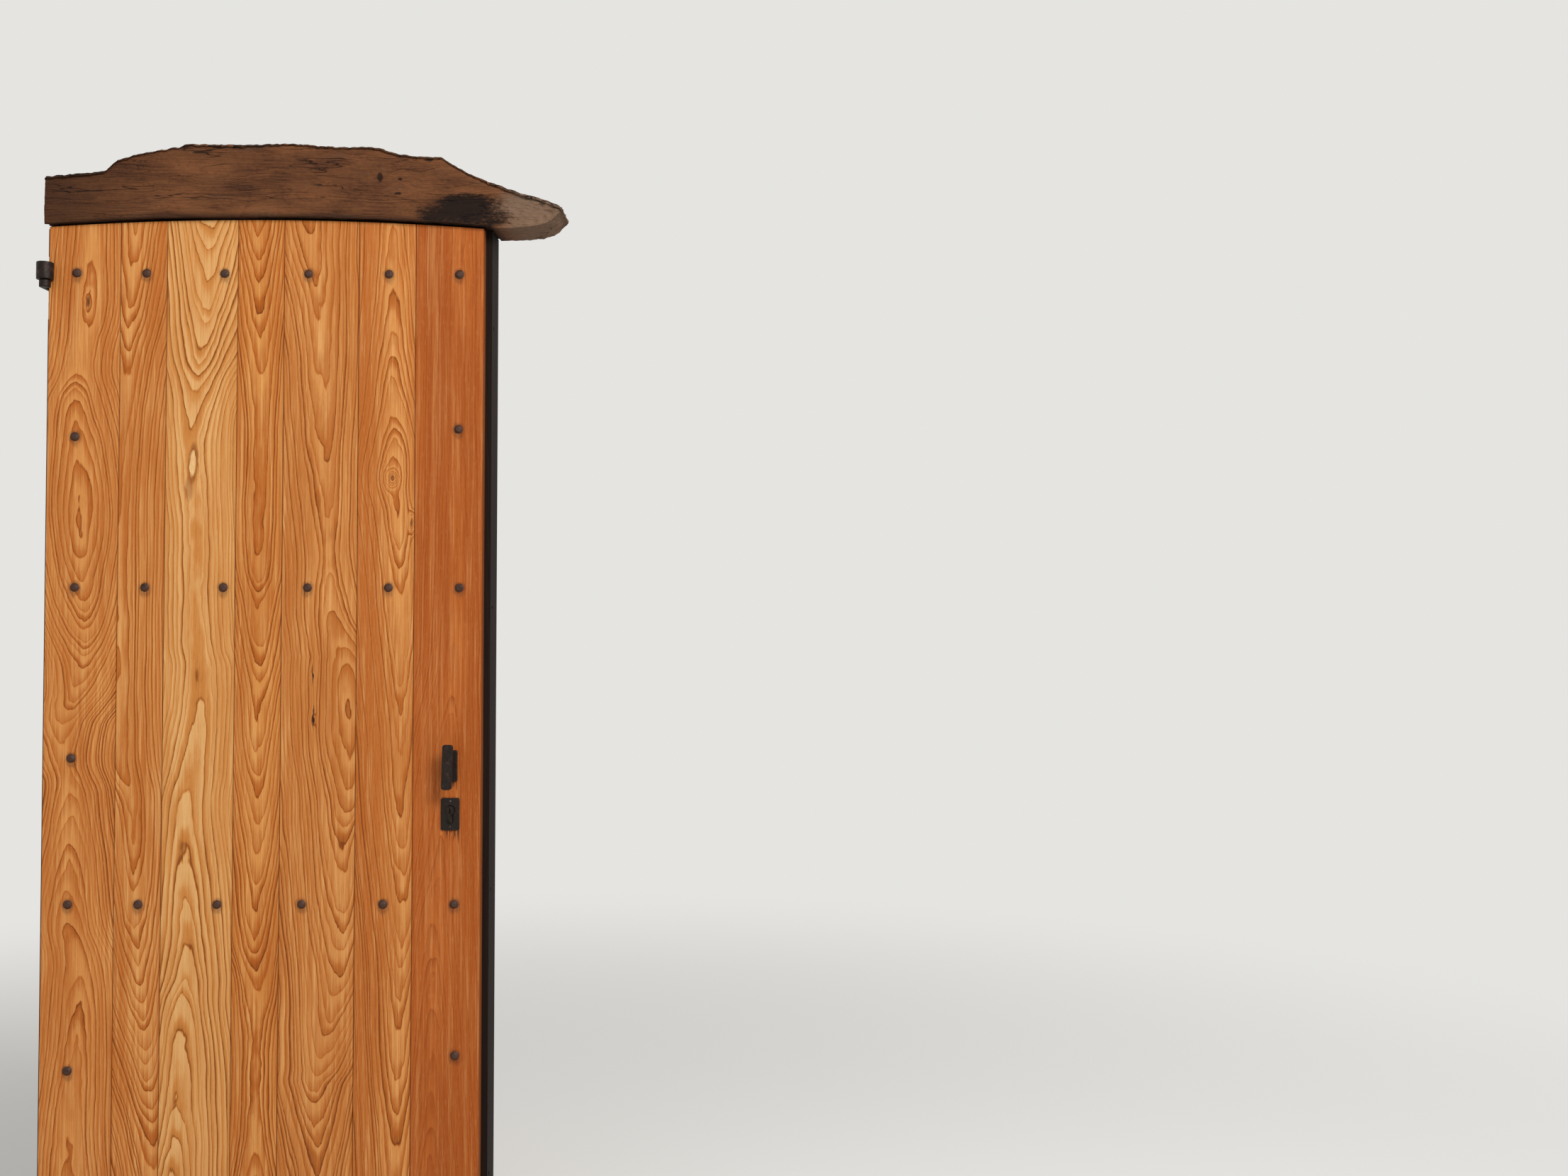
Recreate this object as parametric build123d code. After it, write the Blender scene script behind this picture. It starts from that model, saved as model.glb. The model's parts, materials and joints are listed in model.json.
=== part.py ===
from build123d import *

import math
import os

# Arched plank door in its frame. Millimetres, +Z up. While it is modelled, x runs from the leaf's
# hinge edge to its lock edge, y = 0 is the face of the boards and grows into the wall, z = 0 is the floor.

# Leaf
BOARD_WIDTHS = (136.0, 88.0, 134.0, 88.0, 142.0, 108.0, 129.0)
BOARD_THICKNESS = 22.0
BOARD_ARRIS = 0.9
BOARD_GAP = 0.4
TONGUE_LENGTH = 6.0
TONGUE_THICKNESS = 6.0
GROOVE_CLEARANCE = 0.3
LEAF_HEIGHT = 2030.0
LEAF_RISE = 15.0
FLOOR_GAP = 8.0
LEAF_WIDTH = sum(BOARD_WIDTHS)

# Inner frame of the leaf
LAP = 15.0
FRAMING_THICKNESS = 38.0
STILE_HINGE_WIDTH = 90.0
STILE_LOCK_WIDTH = 100.0
RAIL_HEIGHT = 130.0
BOTTOM_RAIL_HEIGHT = 200.0
TENON_LENGTH = 40.0
TENON_THICKNESS = 12.0
TENON_SHOULDER = 20.0
JOINT_CLEARANCE = 0.1
PEG_SIDE = 8.0
PEG_INSET = 20.0

# Nails
NAIL_INSETS = (53.0, 49.0, 109.0, None, 46.0, 57.0, 83.0)
NAIL_ROW_DROP = 88.0
NAIL_BOTTOM_RISE = 133.0
NAIL_ROW_COUNT = 4
NAIL_ROW_DRIFT = (0.0, 3.0, -3.0, 0.0)
HINGE_EDGE_NAIL_DRIFT = (-13.0, -24.0, -12.0)
LOCK_EDGE_NAIL_DRIFT = (3.0, None, 15.0)
NAIL_HEAD_RADIUS = 8.8
NAIL_HEAD_HEIGHT = 5.2
NAIL_TIP_RADIUS = 3.6
NAIL_SHANK = 4.0
NAIL_LENGTH = 46.0

# Door frame
HINGE_CLEARANCE = 3.0
LOCK_CLEARANCE = 5.0
HEAD_CLEARANCE = 3.0
BACK_CLEARANCE = 2.0
LINING_OUT = 12.0
LINING_DEPTH = 68.0
STOP_WIDTH = 24.0
HOUSING_DEPTH = 8.0
FIXING_RADIUS = 4.0
FIXING_COUNT = 4
FIXING_TOP_DROP = 183.0
FIXING_FIRST = 220.0
FIXING_DEPTH = 19.0
LINTEL_PEG_RADIUS = 5.5
LINTEL_PEG_LENGTH = 60.0

# Lintel, a weathered timber measured at stations along its length: distance from the leaf's hinge
# edge, then above the leaf's crown the top and the underside past the frame,
# how far the face stands back from the boldest point, and the width of the worn top edge
LINTEL_PROUD = 15.0
LINTEL_DEPTH = 112.0
LINTEL_SEAT_END = 4.0
LINTEL_BACK_EDGE = 6.0
LINTEL_STATIONS = (
    (-5.0, 82.0, -28.0, 4.0, 10.0),
    (70.0, 90.0, -28.0, 1.0, 12.0),
    (118.0, 96.0, -28.0, 2.0, 8.0),
    (132.0, 115.0, -28.0, 1.0, 12.0),
    (255.0, 143.0, -28.0, 0.0, 14.0),
    (450.0, 148.0, -28.0, 1.0, 10.0),
    (616.0, 143.0, -28.0, 0.0, 13.0),
    (744.0, 124.0, -28.0, 2.0, 12.0),
    (794.0, 93.0, -28.0, 2.0, 16.0),
    (838.0, 75.0, -18.0, 3.0, 14.0),
    (891.0, 56.0, -16.0, 5.0, 16.0),
    (945.0, 40.0, -4.0, 9.0, 12.0),
    (974.0, 28.0, 18.0, 18.0, 3.0),
)

# Hinges
PIN_RADIUS = 6.0
PIN_CLEARANCE = 0.08
PIN_LENGTH = 30.0
EYE_RADIUS = 15.5
EYE_HEIGHT = 33.2
EYE_STANDOFF = 16.0
BOSS_RADIUS = 10.5
BOSS_HEIGHT = 14.0
BEARING_GAP = 0.2
STRAP_THICKNESS = 6.0
STRAP_LENGTH = 560.0
STRAP_END_HEIGHT = 24.0
STRAP_CLEARANCE = 0.3
TANG_WIDTH = 8.0
PINTLE_PLATE_HEIGHT = 120.0
PINTLE_PLATE_THICKNESS = 5.0
PINTLE_SPIKE_OFFSETS = (-48.0, -16.0, 48.0)

# Lock
BACKSET = 57.0
LOCK_BELOW_MIDDLE = 122.0
CYLINDER_RADIUS = 8.5
CYLINDER_LOBE_RADIUS = 5.0
CYLINDER_HEIGHT = 33.0
CYLINDER_OUTSIDE = 46.0
CYLINDER_INSIDE = 27.0
CYLINDER_CLEARANCE = 0.3
PLUG_RADIUS = 6.5
RUNNING_CLEARANCE = 0.08
KEYWAY_WIDTH = 1.6
KEYWAY_HEIGHT = 8.5
KEYWAY_DEPTH = 24.0
CAM_THICKNESS = 9.0
CAM_SLOT = 10.0
CAM_RADIUS = 15.0
CAM_HUB_RADIUS = 7.8
CAM_WIDTH = 8.0
CAM_CLEARANCE = 0.8
CASE_THICKNESS = 15.0
CASE_WALL = 1.5
CASE_BACK = 40.0
CASE_BELOW = 50.0
CASE_ABOVE = 60.0
FOREND_THICKNESS = 3.0
FOREND_WIDTH = 22.0
FOREND_HEIGHT = 160.0
FOREND_SCREW_OFFSET = 70.0
BOLT_THROW = 20.0
BOLT_HEIGHT = 30.0
BOLT_RISE = 33.0
BOLT_CLEARANCE = 0.2
TOOTH_WIDTH = 8.0
TOOTH_DROP = 9.0
TALON_HALF_WIDTH = 15.5
CYLINDER_SCREW_DROP = 20.0
STRIKE_THICKNESS = 3.0
STRIKE_HEIGHT = 120.0
STRIKE_SPIKE_OFFSET = 48.0
STRIKE_CLEARANCE = 1.5

# Pull and escutcheon
PULL_RISE = 84.0
PULL_PLATE_SIZE = (27.0, 60.0)
PULL_PLATE_THICKNESS = 4.0
PULL_BAR_SIZE = (20.0, 85.0)
PULL_BAR_THICKNESS = 8.0
PULL_BAR_LEAN = 1.5
PULL_REACH = 37.5
PULL_STEM_RADIUS = 7.5
SPINDLE = 8.0
SPINDLE_CLEARANCE = 0.15
ESCUTCHEON_SIZE = (35.6, 61.4)
ESCUTCHEON_THICKNESS = 3.0
ESCUTCHEON_DROP = 7.0
COVER_PIN_OFFSET = 24.2
PLATE_CORNER = 2.4
BAR_CORNER = 5.0
SCREW_CLEARANCE = 0.1

# Pins of the cover plates: radius of the domed head, its height, radius of the square shank, length
COVER_PIN = (2.6, 1.2, 1.7, 12.0)

# Sunk spikes and screws: radius of the head over its corners, radius of the shank, length
PINTLE_SPIKE = (6.4, 3.2, 40.0)
STRIKE_SPIKE = (5.6, 2.8, 18.0)
FOREND_SCREW = (4.0, 2.2, 30.0)
CYLINDER_SCREW = (4.2, 2.5, BACKSET - LAP - 2.0)
DRIVER_SLOT = (1.0, 0.8)

# Levels and planes that follow from the sizes above
CROWN = FLOOR_GAP + LEAF_HEIGHT
SHOULDER = CROWN - LEAF_RISE
ARC_RADIUS = ((LEAF_WIDTH / 2) ** 2 + LEAF_RISE**2) / (2 * LEAF_RISE)
FRAMING_FRONT = BOARD_THICKNESS
FRAMING_BACK = BOARD_THICKNESS + FRAMING_THICKNESS
FRAMING_MIDDLE = (FRAMING_FRONT + FRAMING_BACK) / 2
FRAMING_TOP = SHOULDER - LAP
LOCK_EDGE = LEAF_WIDTH - LAP
LINING_FRONT = BOARD_THICKNESS + BACK_CLEARANCE
LINING_BACK = LINING_FRONT + LINING_DEPTH
STOP_FRONT = FRAMING_BACK + BACK_CLEARANCE
HINGE_LINING_FACE = LAP - HINGE_CLEARANCE
LOCK_LINING_FACE = LOCK_EDGE + LOCK_CLEARANCE
HEAD_UNDERSIDE = FRAMING_TOP + HEAD_CLEARANCE
SEAT_GAP = 0.2
NAIL_TOP_ROW = SHOULDER - NAIL_ROW_DROP
NAIL_ROW_PITCH = (NAIL_TOP_ROW - NAIL_BOTTOM_RISE - FLOOR_GAP) / (NAIL_ROW_COUNT - 1)
NAIL_ROWS = [NAIL_TOP_ROW - NAIL_ROW_PITCH * row for row in range(NAIL_ROW_COUNT)]
BOARD_EDGES = [sum(BOARD_WIDTHS[:count]) for count in range(len(BOARD_WIDTHS) + 1)]
LOCK_X = LEAF_WIDTH - BACKSET
LOCK_Z = (NAIL_ROWS[1] + NAIL_ROWS[2]) / 2 - LOCK_BELOW_MIDDLE
PULL_Z = LOCK_Z + PULL_RISE
BOLT_Z = LOCK_Z + BOLT_RISE
FAR = 3000.0
OVERCUT = 1.0


def block(x_range, y_range, z_range):
    """A square-edged piece between three pairs of limits."""
    size = [high - low for low, high in (x_range, y_range, z_range)]
    corner = (x_range[0], y_range[0], z_range[0])
    return Pos(*corner) * Box(*size, align=Align.MIN)


def plate(outline, front, back):
    """An outline drawn as seen from the front, made solid between two depths."""
    return extrude(Plane.XZ.offset(-back) * outline, amount=back - front)


def clipped_rectangle(size, corner):
    """A rectangle with its four corners cut off."""
    outline = Rectangle(*size)
    return chamfer(outline.vertices(), corner)


def rod(radius, start, end):
    """A round bar from one point to another."""
    direction = Vector(*end) - Vector(*start)
    ends = (Align.CENTER, Align.CENTER, Align.MIN)
    return Plane(origin=start, z_dir=direction) * Cylinder(radius, direction.length, align=ends)


def faceted_cone(sides, radius, tip_radius, height):
    """A many-sided cone without its tip, standing on z = 0 with flats along x and y."""
    slope = math.degrees(math.atan((radius - tip_radius) * math.cos(math.pi / sides) / height))
    outline = RegularPolygon(radius, sides, rotation=180 / sides)
    return extrude(outline, amount=height, taper=slope)


def faceted_rod(sides, radius, start, end):
    """A many-sided bar along z with flats along x and y."""
    outline = RegularPolygon(radius, sides, rotation=180 / sides)
    return Pos(0, 0, start) * extrude(outline, amount=end - start)


def sunk_fastener(sides, point, direction, sizes, clearance):
    """A fastener with a sunk head, or the hole for one where a clearance is given."""
    head_radius, shank_radius, length = sizes
    depth = head_radius - shank_radius
    head = faceted_cone(sides, head_radius + clearance, shank_radius + clearance, depth)
    shank = faceted_rod(sides, shank_radius + clearance, depth, length + clearance)
    return Plane(origin=point, z_dir=direction) * (head + shank)


def screw(point, direction, sizes, clearance=0.0):
    """A countersunk screw with its driver slot, or the hole for one where a clearance is given."""
    body = sunk_fastener(8, point, direction, sizes, clearance)
    if not clearance:
        width, deep = DRIVER_SLOT
        body -= Plane(origin=point, z_dir=direction) * Box(2 * sizes[0] + OVERCUT, width, 2 * deep)
    return body


def spike(point, direction, sizes, clearance=0.0):
    """A forged square spike with a sunk head, or the hole for one where a clearance is given."""
    return sunk_fastener(4, point, direction, sizes, clearance)


def arc_height(x, lift=0.0):
    """Height of the shallow arch at a distance from the hinge edge."""
    offset = x - LEAF_WIDTH / 2
    return CROWN + lift - ARC_RADIUS + math.sqrt(ARC_RADIUS**2 - offset**2)


def below_arch(lift):
    """Everything under the arch, raised by lift."""
    left = -LEAF_WIDTH / 4
    right = LEAF_WIDTH * 5 / 4
    foot = -FAR / 10
    start = (left, arc_height(left, lift))
    crown = (LEAF_WIDTH / 2, CROWN + lift)
    end = (right, arc_height(right, lift))
    outline = ThreePointArc(start, crown, end) + Polyline(end, (right, foot), (left, foot), start)
    return plate(make_face(outline), -FAR / 10, FAR / 10)


# Nails
def nail_points():
    """Where the nails are driven: four rows, and three heights between them at the edges."""
    points = []
    columns = [edge + inset for edge, inset in zip(BOARD_EDGES, NAIL_INSETS) if inset is not None]
    for height, drift in zip(NAIL_ROWS, NAIL_ROW_DRIFT):
        points += [(column + drift, height) for column in columns]
    edges = ((columns[0], HINGE_EDGE_NAIL_DRIFT), (columns[-1], LOCK_EDGE_NAIL_DRIFT))
    for column, drifts in edges:
        for row, drift in enumerate(drifts):
            if drift is not None:
                points.append((column, (NAIL_ROWS[row] + NAIL_ROWS[row + 1]) / 2 + drift))
    return points


def nail(point):
    """A forged nail with a faceted head and a square shank."""
    x, z = point
    head = faceted_cone(8, NAIL_HEAD_RADIUS, NAIL_TIP_RADIUS, NAIL_HEAD_HEIGHT)
    shank = Box(NAIL_SHANK, NAIL_SHANK, NAIL_LENGTH, align=(Align.CENTER, Align.CENTER, Align.MAX))
    return Plane(origin=(x, 0, z), z_dir=(0, -1, 0)) * (head + shank)


def without_nail_holes(piece):
    """The piece with square holes where nails pass through it."""
    box = piece.bounding_box()
    side = NAIL_SHANK + 2 * JOINT_CLEARANCE
    hole = plate(Rectangle(side, side), -OVERCUT, NAIL_LENGTH)
    for x, z in nail_points():
        if box.min.X < x < box.max.X and box.min.Z < z < box.max.Z:
            piece -= Pos(x, 0, z) * hole
    return piece


# Lock profile
def cylinder_outline(clearance=0.0):
    """The pear-shaped section of the lock cylinder, about its turning axis."""
    lobe_drop = CYLINDER_HEIGHT - CYLINDER_RADIUS - CYLINDER_LOBE_RADIUS
    waist = Pos(0, -lobe_drop / 2) * Rectangle(2 * (CYLINDER_LOBE_RADIUS + clearance), lobe_drop)
    lobe = Pos(0, -lobe_drop) * Circle(CYLINDER_LOBE_RADIUS + clearance)
    return Circle(CYLINDER_RADIUS + clearance) + waist + lobe


def at_lock(outline, front, back):
    """A plate about the lock cylinder's axis."""
    return Pos(LOCK_X, 0, LOCK_Z) * plate(outline, front, back)


def spindle_hole():
    """The square hole that the pull's spindle passes."""
    side = SPINDLE + 2 * SPINDLE_CLEARANCE
    return Rectangle(side, side)


def at_pull(outline, front, back):
    """A plate about the pull's stem."""
    return Pos(LOCK_X, 0, PULL_Z) * plate(outline, front, back)


# Boards
def board_outline(index):
    """Section of one board, with its tongue on the lock side and its groove on the hinge side."""
    first = index == 0
    last = index == len(BOARD_WIDTHS) - 1
    left = BOARD_EDGES[index] + (0 if first else BOARD_GAP / 2)
    right = BOARD_EDGES[index + 1] - (0 if last else BOARD_GAP / 2)
    low = (BOARD_THICKNESS - TONGUE_THICKNESS) / 2
    high = low + TONGUE_THICKNESS
    points = [(left, BOARD_ARRIS), (left + BOARD_ARRIS, 0), (right - BOARD_ARRIS, 0), (right, BOARD_ARRIS)]
    if not last:
        tip = right + TONGUE_LENGTH
        points += [(right, low), (tip, low), (tip, high), (right, high)]
    points += [(right, BOARD_THICKNESS), (left, BOARD_THICKNESS)]
    if not first:
        bottom = left + TONGUE_LENGTH + GROOVE_CLEARANCE
        low -= GROOVE_CLEARANCE
        high += GROOVE_CLEARANCE
        points += [(left, high), (bottom, high), (bottom, low), (left, low)]
    return Polyline(*points, close=True)


def board(index):
    """One tongued board, cut to the arch, let out for the straps and bored for what passes it."""
    plank = extrude(Pos(0, 0, FLOOR_GAP) * make_face(board_outline(index)), amount=LEAF_HEIGHT)
    plank &= below_arch(0)
    for height in (NAIL_ROWS[0], NAIL_ROWS[-1]):
        plank -= Pos(0, 0, height) * strap_recess()
    plank = without_nail_holes(plank)
    if index == len(BOARD_WIDTHS) - 1:
        plank -= at_lock(cylinder_outline(CYLINDER_CLEARANCE), -OVERCUT, BOARD_THICKNESS + OVERCUT)
        plank -= at_pull(spindle_hole(), -OVERCUT, BOARD_THICKNESS + OVERCUT)
        for hole in cover_pins(JOINT_CLEARANCE):
            plank -= hole
    return plank


# Inner frame of the leaf
def rail_levels():
    """Underside and top of the four rails, each behind its row of nails."""
    middle = [(row - RAIL_HEIGHT / 2, row + RAIL_HEIGHT / 2) for row in NAIL_ROWS[1:3]]
    top = (FRAMING_TOP - RAIL_HEIGHT, FRAMING_TOP)
    bottom = (FLOOR_GAP, FLOOR_GAP + BOTTOM_RAIL_HEIGHT)
    return [top, *middle, bottom]


def tenons(level, clearance=0.0):
    """The pair of stub tenons on a rail, or their mortises where a clearance is given."""
    depth = TENON_THICKNESS / 2 + clearance
    low, high = level
    z_range = (low + TENON_SHOULDER - clearance, high - TENON_SHOULDER + clearance)
    left = LAP + STILE_HINGE_WIDTH
    right = LOCK_EDGE - STILE_LOCK_WIDTH
    reach = TENON_LENGTH + clearance
    y_range = (FRAMING_MIDDLE - depth, FRAMING_MIDDLE + depth)
    return block((left - reach, left), y_range, z_range), block((right, right + reach), y_range, z_range)


def peg_points():
    """One draw-bored peg through each rail joint."""
    columns = (LAP + STILE_HINGE_WIDTH - PEG_INSET, LOCK_EDGE - STILE_LOCK_WIDTH + PEG_INSET)
    return [(column, (low + high) / 2) for column in columns for low, high in rail_levels()]


def framing_pegs(clearance=0.0):
    """Square oak pegs, flush with both faces of the inner frame, or the holes for them."""
    past = OVERCUT if clearance else 0.0
    side = PEG_SIDE + 2 * clearance
    shape = plate(Rectangle(side, side), FRAMING_FRONT - past, FRAMING_BACK + past)
    return [Pos(x, 0, z) * shape for x, z in peg_points()]


def without_peg_holes(piece):
    """The piece bored for the pegs of its rail joints."""
    for hole in framing_pegs(JOINT_CLEARANCE):
        piece -= hole
    return piece


def rail(level):
    """A rail with a stub tenon at each end."""
    left = LAP + STILE_HINGE_WIDTH
    right = LOCK_EDGE - STILE_LOCK_WIDTH
    body = block((left, right), (FRAMING_FRONT, FRAMING_BACK), level)
    for tenon in tenons(level):
        body += tenon
    return without_peg_holes(without_nail_holes(body))


def stile(left, right):
    """An upright of the inner frame, mortised for the rails."""
    body = block((left, right), (FRAMING_FRONT, FRAMING_BACK), (FLOOR_GAP, FRAMING_TOP))
    for level in rail_levels():
        for mortise in tenons(level, JOINT_CLEARANCE):
            body -= mortise
    return without_peg_holes(without_nail_holes(body))


def lock_stile():
    """The stile that carries the lock, with its mortise, cylinder hole and pull bore."""
    body = stile(LOCK_EDGE - STILE_LOCK_WIDTH, LOCK_EDGE)
    x_range, y_range, z_range = case_limits(JOINT_CLEARANCE)
    body -= block((x_range[0], LOCK_EDGE + OVERCUT), y_range, z_range)
    body -= forend_blank(JOINT_CLEARANCE)
    body -= at_lock(cylinder_outline(CYLINDER_CLEARANCE), FRAMING_FRONT - OVERCUT, FRAMING_BACK + OVERCUT)
    body -= at_pull(spindle_hole(), FRAMING_FRONT - OVERCUT, FRAMING_BACK + OVERCUT)
    for hole in forend_screws(SCREW_CLEARANCE) + cover_pins(JOINT_CLEARANCE):
        body -= hole
    return body


# Hinges
def strap_outline(clearance=0.0):
    """The tapered strap behind the boards, seen from the front, about its own centre line."""
    root = EYE_HEIGHT / 2 + clearance
    end = STRAP_END_HEIGHT / 2 + clearance
    neck = STRAP_LENGTH - STRAP_END_HEIGHT / 2
    tip = STRAP_LENGTH + clearance
    return make_face(Polyline((0, -root), (neck, -end), (tip, 0), (neck, end), (0, root), close=True))


def strap_recess():
    """What the boards lose to a strap and to the crank that brings it forward."""
    front = BOARD_THICKNESS - STRAP_THICKNESS
    bed = plate(strap_outline(STRAP_CLEARANCE), front - SEAT_GAP, BOARD_THICKNESS + OVERCUT)
    half = EYE_HEIGHT / 2 + STRAP_CLEARANCE
    notch_x = (-OVERCUT, STRAP_THICKNESS + STRAP_CLEARANCE)
    notch = block(notch_x, (-OVERCUT, BOARD_THICKNESS + OVERCUT), (-half, half))
    return bed + notch


def strap(height):
    """A strap with its crank and eye, forged in one piece."""
    flat = plate(strap_outline(), BOARD_THICKNESS - STRAP_THICKNESS, BOARD_THICKNESS)
    half = EYE_HEIGHT / 2
    crank = block((0, STRAP_THICKNESS), (-EYE_STANDOFF, BOARD_THICKNESS), (-half, half))
    axis = Pos(0, -EYE_STANDOFF, 0)
    eye = axis * Cylinder(EYE_RADIUS, EYE_HEIGHT)
    bore = axis * Cylinder(PIN_RADIUS + PIN_CLEARANCE, EYE_HEIGHT + 2 * OVERCUT)
    piece = Pos(0, 0, height) * (flat + crank + eye - bore)
    return without_nail_holes(piece)


def pintle_plate(height, clearance=0.0):
    """The plate that holds a pintle, or its recess in the lining where a clearance is given."""
    half = PINTLE_PLATE_HEIGHT / 2 + clearance
    middle = height - EYE_HEIGHT / 2 - BOSS_HEIGHT / 2
    y_range = (LINING_FRONT - clearance, LINING_FRONT + PINTLE_PLATE_THICKNESS + clearance)
    x_range = (-LINING_OUT - clearance, HINGE_LINING_FACE + clearance)
    return block(x_range, y_range, (middle - half, middle + half))


def pintle_spikes(height, clearance=0.0):
    """The spikes of one pintle, through its plate into the lining."""
    middle = height - EYE_HEIGHT / 2 - BOSS_HEIGHT / 2
    centre = (HINGE_LINING_FACE - LINING_OUT) / 2
    points = [(centre, LINING_FRONT, middle + offset) for offset in PINTLE_SPIKE_OFFSETS]
    return [spike(point, (0, 1, 0), PINTLE_SPIKE, clearance) for point in points]


def pintle(height):
    """A pin on a round boss, with a tang that runs back to its plate."""
    top = height - EYE_HEIGHT / 2 - BEARING_GAP
    bottom = top - BOSS_HEIGHT
    tang = block((-BOSS_RADIUS, TANG_WIDTH - BOSS_RADIUS), (-EYE_STANDOFF, LINING_FRONT), (bottom, top))
    boss = rod(BOSS_RADIUS, (0, -EYE_STANDOFF, bottom), (0, -EYE_STANDOFF, top))
    pin = rod(PIN_RADIUS, (0, -EYE_STANDOFF, top), (0, -EYE_STANDOFF, top + PIN_LENGTH))
    piece = boss + tang + pin + pintle_plate(height)
    for hole in pintle_spikes(height, JOINT_CLEARANCE):
        piece -= hole
    return piece


# Door frame
def lining(inner, outer):
    """An upright lining from the floor to the lintel, housed for the head and bored for fixings."""
    low, high = sorted((inner, outer))
    body = block((low, high), (LINING_FRONT, LINING_BACK), (0, CROWN + HEAD_CLEARANCE))
    body &= below_arch(HEAD_CLEARANCE - SEAT_GAP)
    body -= head_blank(JOINT_CLEARANCE)
    for point in fixing_points():
        body -= rod(FIXING_RADIUS, (low - OVERCUT, *point), (high + OVERCUT, *point))
    for peg in lintel_pegs(JOINT_CLEARANCE):
        body -= peg
    return body


def fixing_points():
    """Depth and height of the wall-fixing holes in each lining."""
    depth = LINING_FRONT + FIXING_DEPTH
    pitch = (SHOULDER - FIXING_TOP_DROP - FIXING_FIRST) / (FIXING_COUNT - 1)
    return [(depth, FIXING_FIRST + pitch * row) for row in range(FIXING_COUNT)]


def hinge_lining():
    """The lining that carries the pintles."""
    body = lining(HINGE_LINING_FACE, -LINING_OUT)
    for height in (NAIL_ROWS[0], NAIL_ROWS[-1]):
        body -= pintle_plate(height, JOINT_CLEARANCE)
        for hole in pintle_spikes(height, JOINT_CLEARANCE):
            body -= hole
    return body


def lock_lining():
    """The lining that takes the bolt."""
    body = lining(LOCK_LINING_FACE, LEAF_WIDTH + LINING_OUT)
    body -= strike_blank(JOINT_CLEARANCE)
    body -= bolt_hole(LOCK_LINING_FACE - OVERCUT, LOCK_EDGE + BOLT_THROW + STRIKE_CLEARANCE)
    for hole in strike_spikes(JOINT_CLEARANCE):
        body -= hole
    return body


def side_stop(near, far):
    """A planted stop that the leaf closes against."""
    low, high = sorted((near, far))
    return block((low, high), (STOP_FRONT, LINING_BACK), (0, HEAD_UNDERSIDE))


def head_blank(clearance=0.0):
    """The head, housed into both linings, before it is cut to the arch."""
    left = HINGE_LINING_FACE - HOUSING_DEPTH - clearance
    right = LOCK_LINING_FACE + HOUSING_DEPTH + clearance
    y_range = (LINING_FRONT - clearance, LINING_BACK + clearance)
    return block((left, right), y_range, (HEAD_UNDERSIDE - clearance, CROWN + 2 * HEAD_CLEARANCE))


def head():
    """The head of the frame, flat below and arched above."""
    return head_blank() & below_arch(HEAD_CLEARANCE - SEAT_GAP)


def head_stop():
    """The stop under the head, between the side stops."""
    left = HINGE_LINING_FACE + STOP_WIDTH
    right = LOCK_LINING_FACE - STOP_WIDTH
    z_range = (HEAD_UNDERSIDE - STOP_WIDTH, HEAD_UNDERSIDE)
    return block((left, right), (STOP_FRONT, LINING_BACK), z_range)


def lintel_pegs(clearance=0.0):
    """Eight-sided pegs that tie the lintel to the tops of the linings, outside the head's housings."""
    half = LINTEL_PEG_LENGTH / 2 + clearance
    outline = RegularPolygon(LINTEL_PEG_RADIUS + clearance, 8)
    inset = (LINING_OUT + HINGE_LINING_FACE - HOUSING_DEPTH) / 2 - LINING_OUT
    depth = (LINING_FRONT + LINING_BACK) / 2
    pegs = []
    for x in (inset, LEAF_WIDTH - inset - HINGE_CLEARANCE + LOCK_CLEARANCE):
        foot = arc_height(x, HEAD_CLEARANCE) - half
        pegs.append(extrude(Pos(x, depth, foot) * outline, amount=2 * half))
    return pegs


def lintel_section(station):
    """The timber's cross-section at one station, with its worn top edges and battered face."""
    x, rise, fall, back_off, worn = station
    top = CROWN + rise
    bottom = CROWN + fall
    front = -LINTEL_PROUD + back_off
    back = -LINTEL_PROUD + LINTEL_DEPTH
    points = [
        (front, bottom),
        (front + worn / 3, top - worn),
        (front + worn, top),
        (back - LINTEL_BACK_EDGE, top),
        (back, top - LINTEL_BACK_EDGE),
        (back, bottom),
    ]
    section = Plane(origin=(x, 0, 0), x_dir=(0, 1, 0), z_dir=(1, 0, 0))
    return section * make_face(Polyline(*points, close=True))


def lintel():
    """The hewn lintel: lofted through its stations, then cut to seat on the arch of the frame."""
    timber = loft([lintel_section(station) for station in LINTEL_STATIONS], ruled=True)
    seat_end = LEAF_WIDTH + LINING_OUT + LINTEL_SEAT_END
    seat = below_arch(HEAD_CLEARANCE) & block((-FAR, seat_end), (-FAR, FAR), (0, FAR))
    timber -= seat
    for peg in lintel_pegs(JOINT_CLEARANCE):
        timber -= peg
    return timber


# Lock
def case_limits(clearance=0.0):
    """Limits of the lock case."""
    x_range = (LOCK_X - CASE_BACK - clearance, LOCK_EDGE - FOREND_THICKNESS)
    half = CASE_THICKNESS / 2 + clearance
    y_range = (FRAMING_MIDDLE - half, FRAMING_MIDDLE + half)
    return x_range, y_range, (LOCK_Z - CASE_BELOW - clearance, LOCK_Z + CASE_ABOVE + clearance)


def bolt_hole(left, right):
    """A clear way for the bolt between two places along its travel."""
    depth = CASE_THICKNESS / 2 - CASE_WALL + STRIKE_CLEARANCE
    half = BOLT_HEIGHT / 2 + STRIKE_CLEARANCE
    y_range = (FRAMING_MIDDLE - depth, FRAMING_MIDDLE + depth)
    return block((left, right), y_range, (BOLT_Z - half, BOLT_Z + half))


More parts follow.
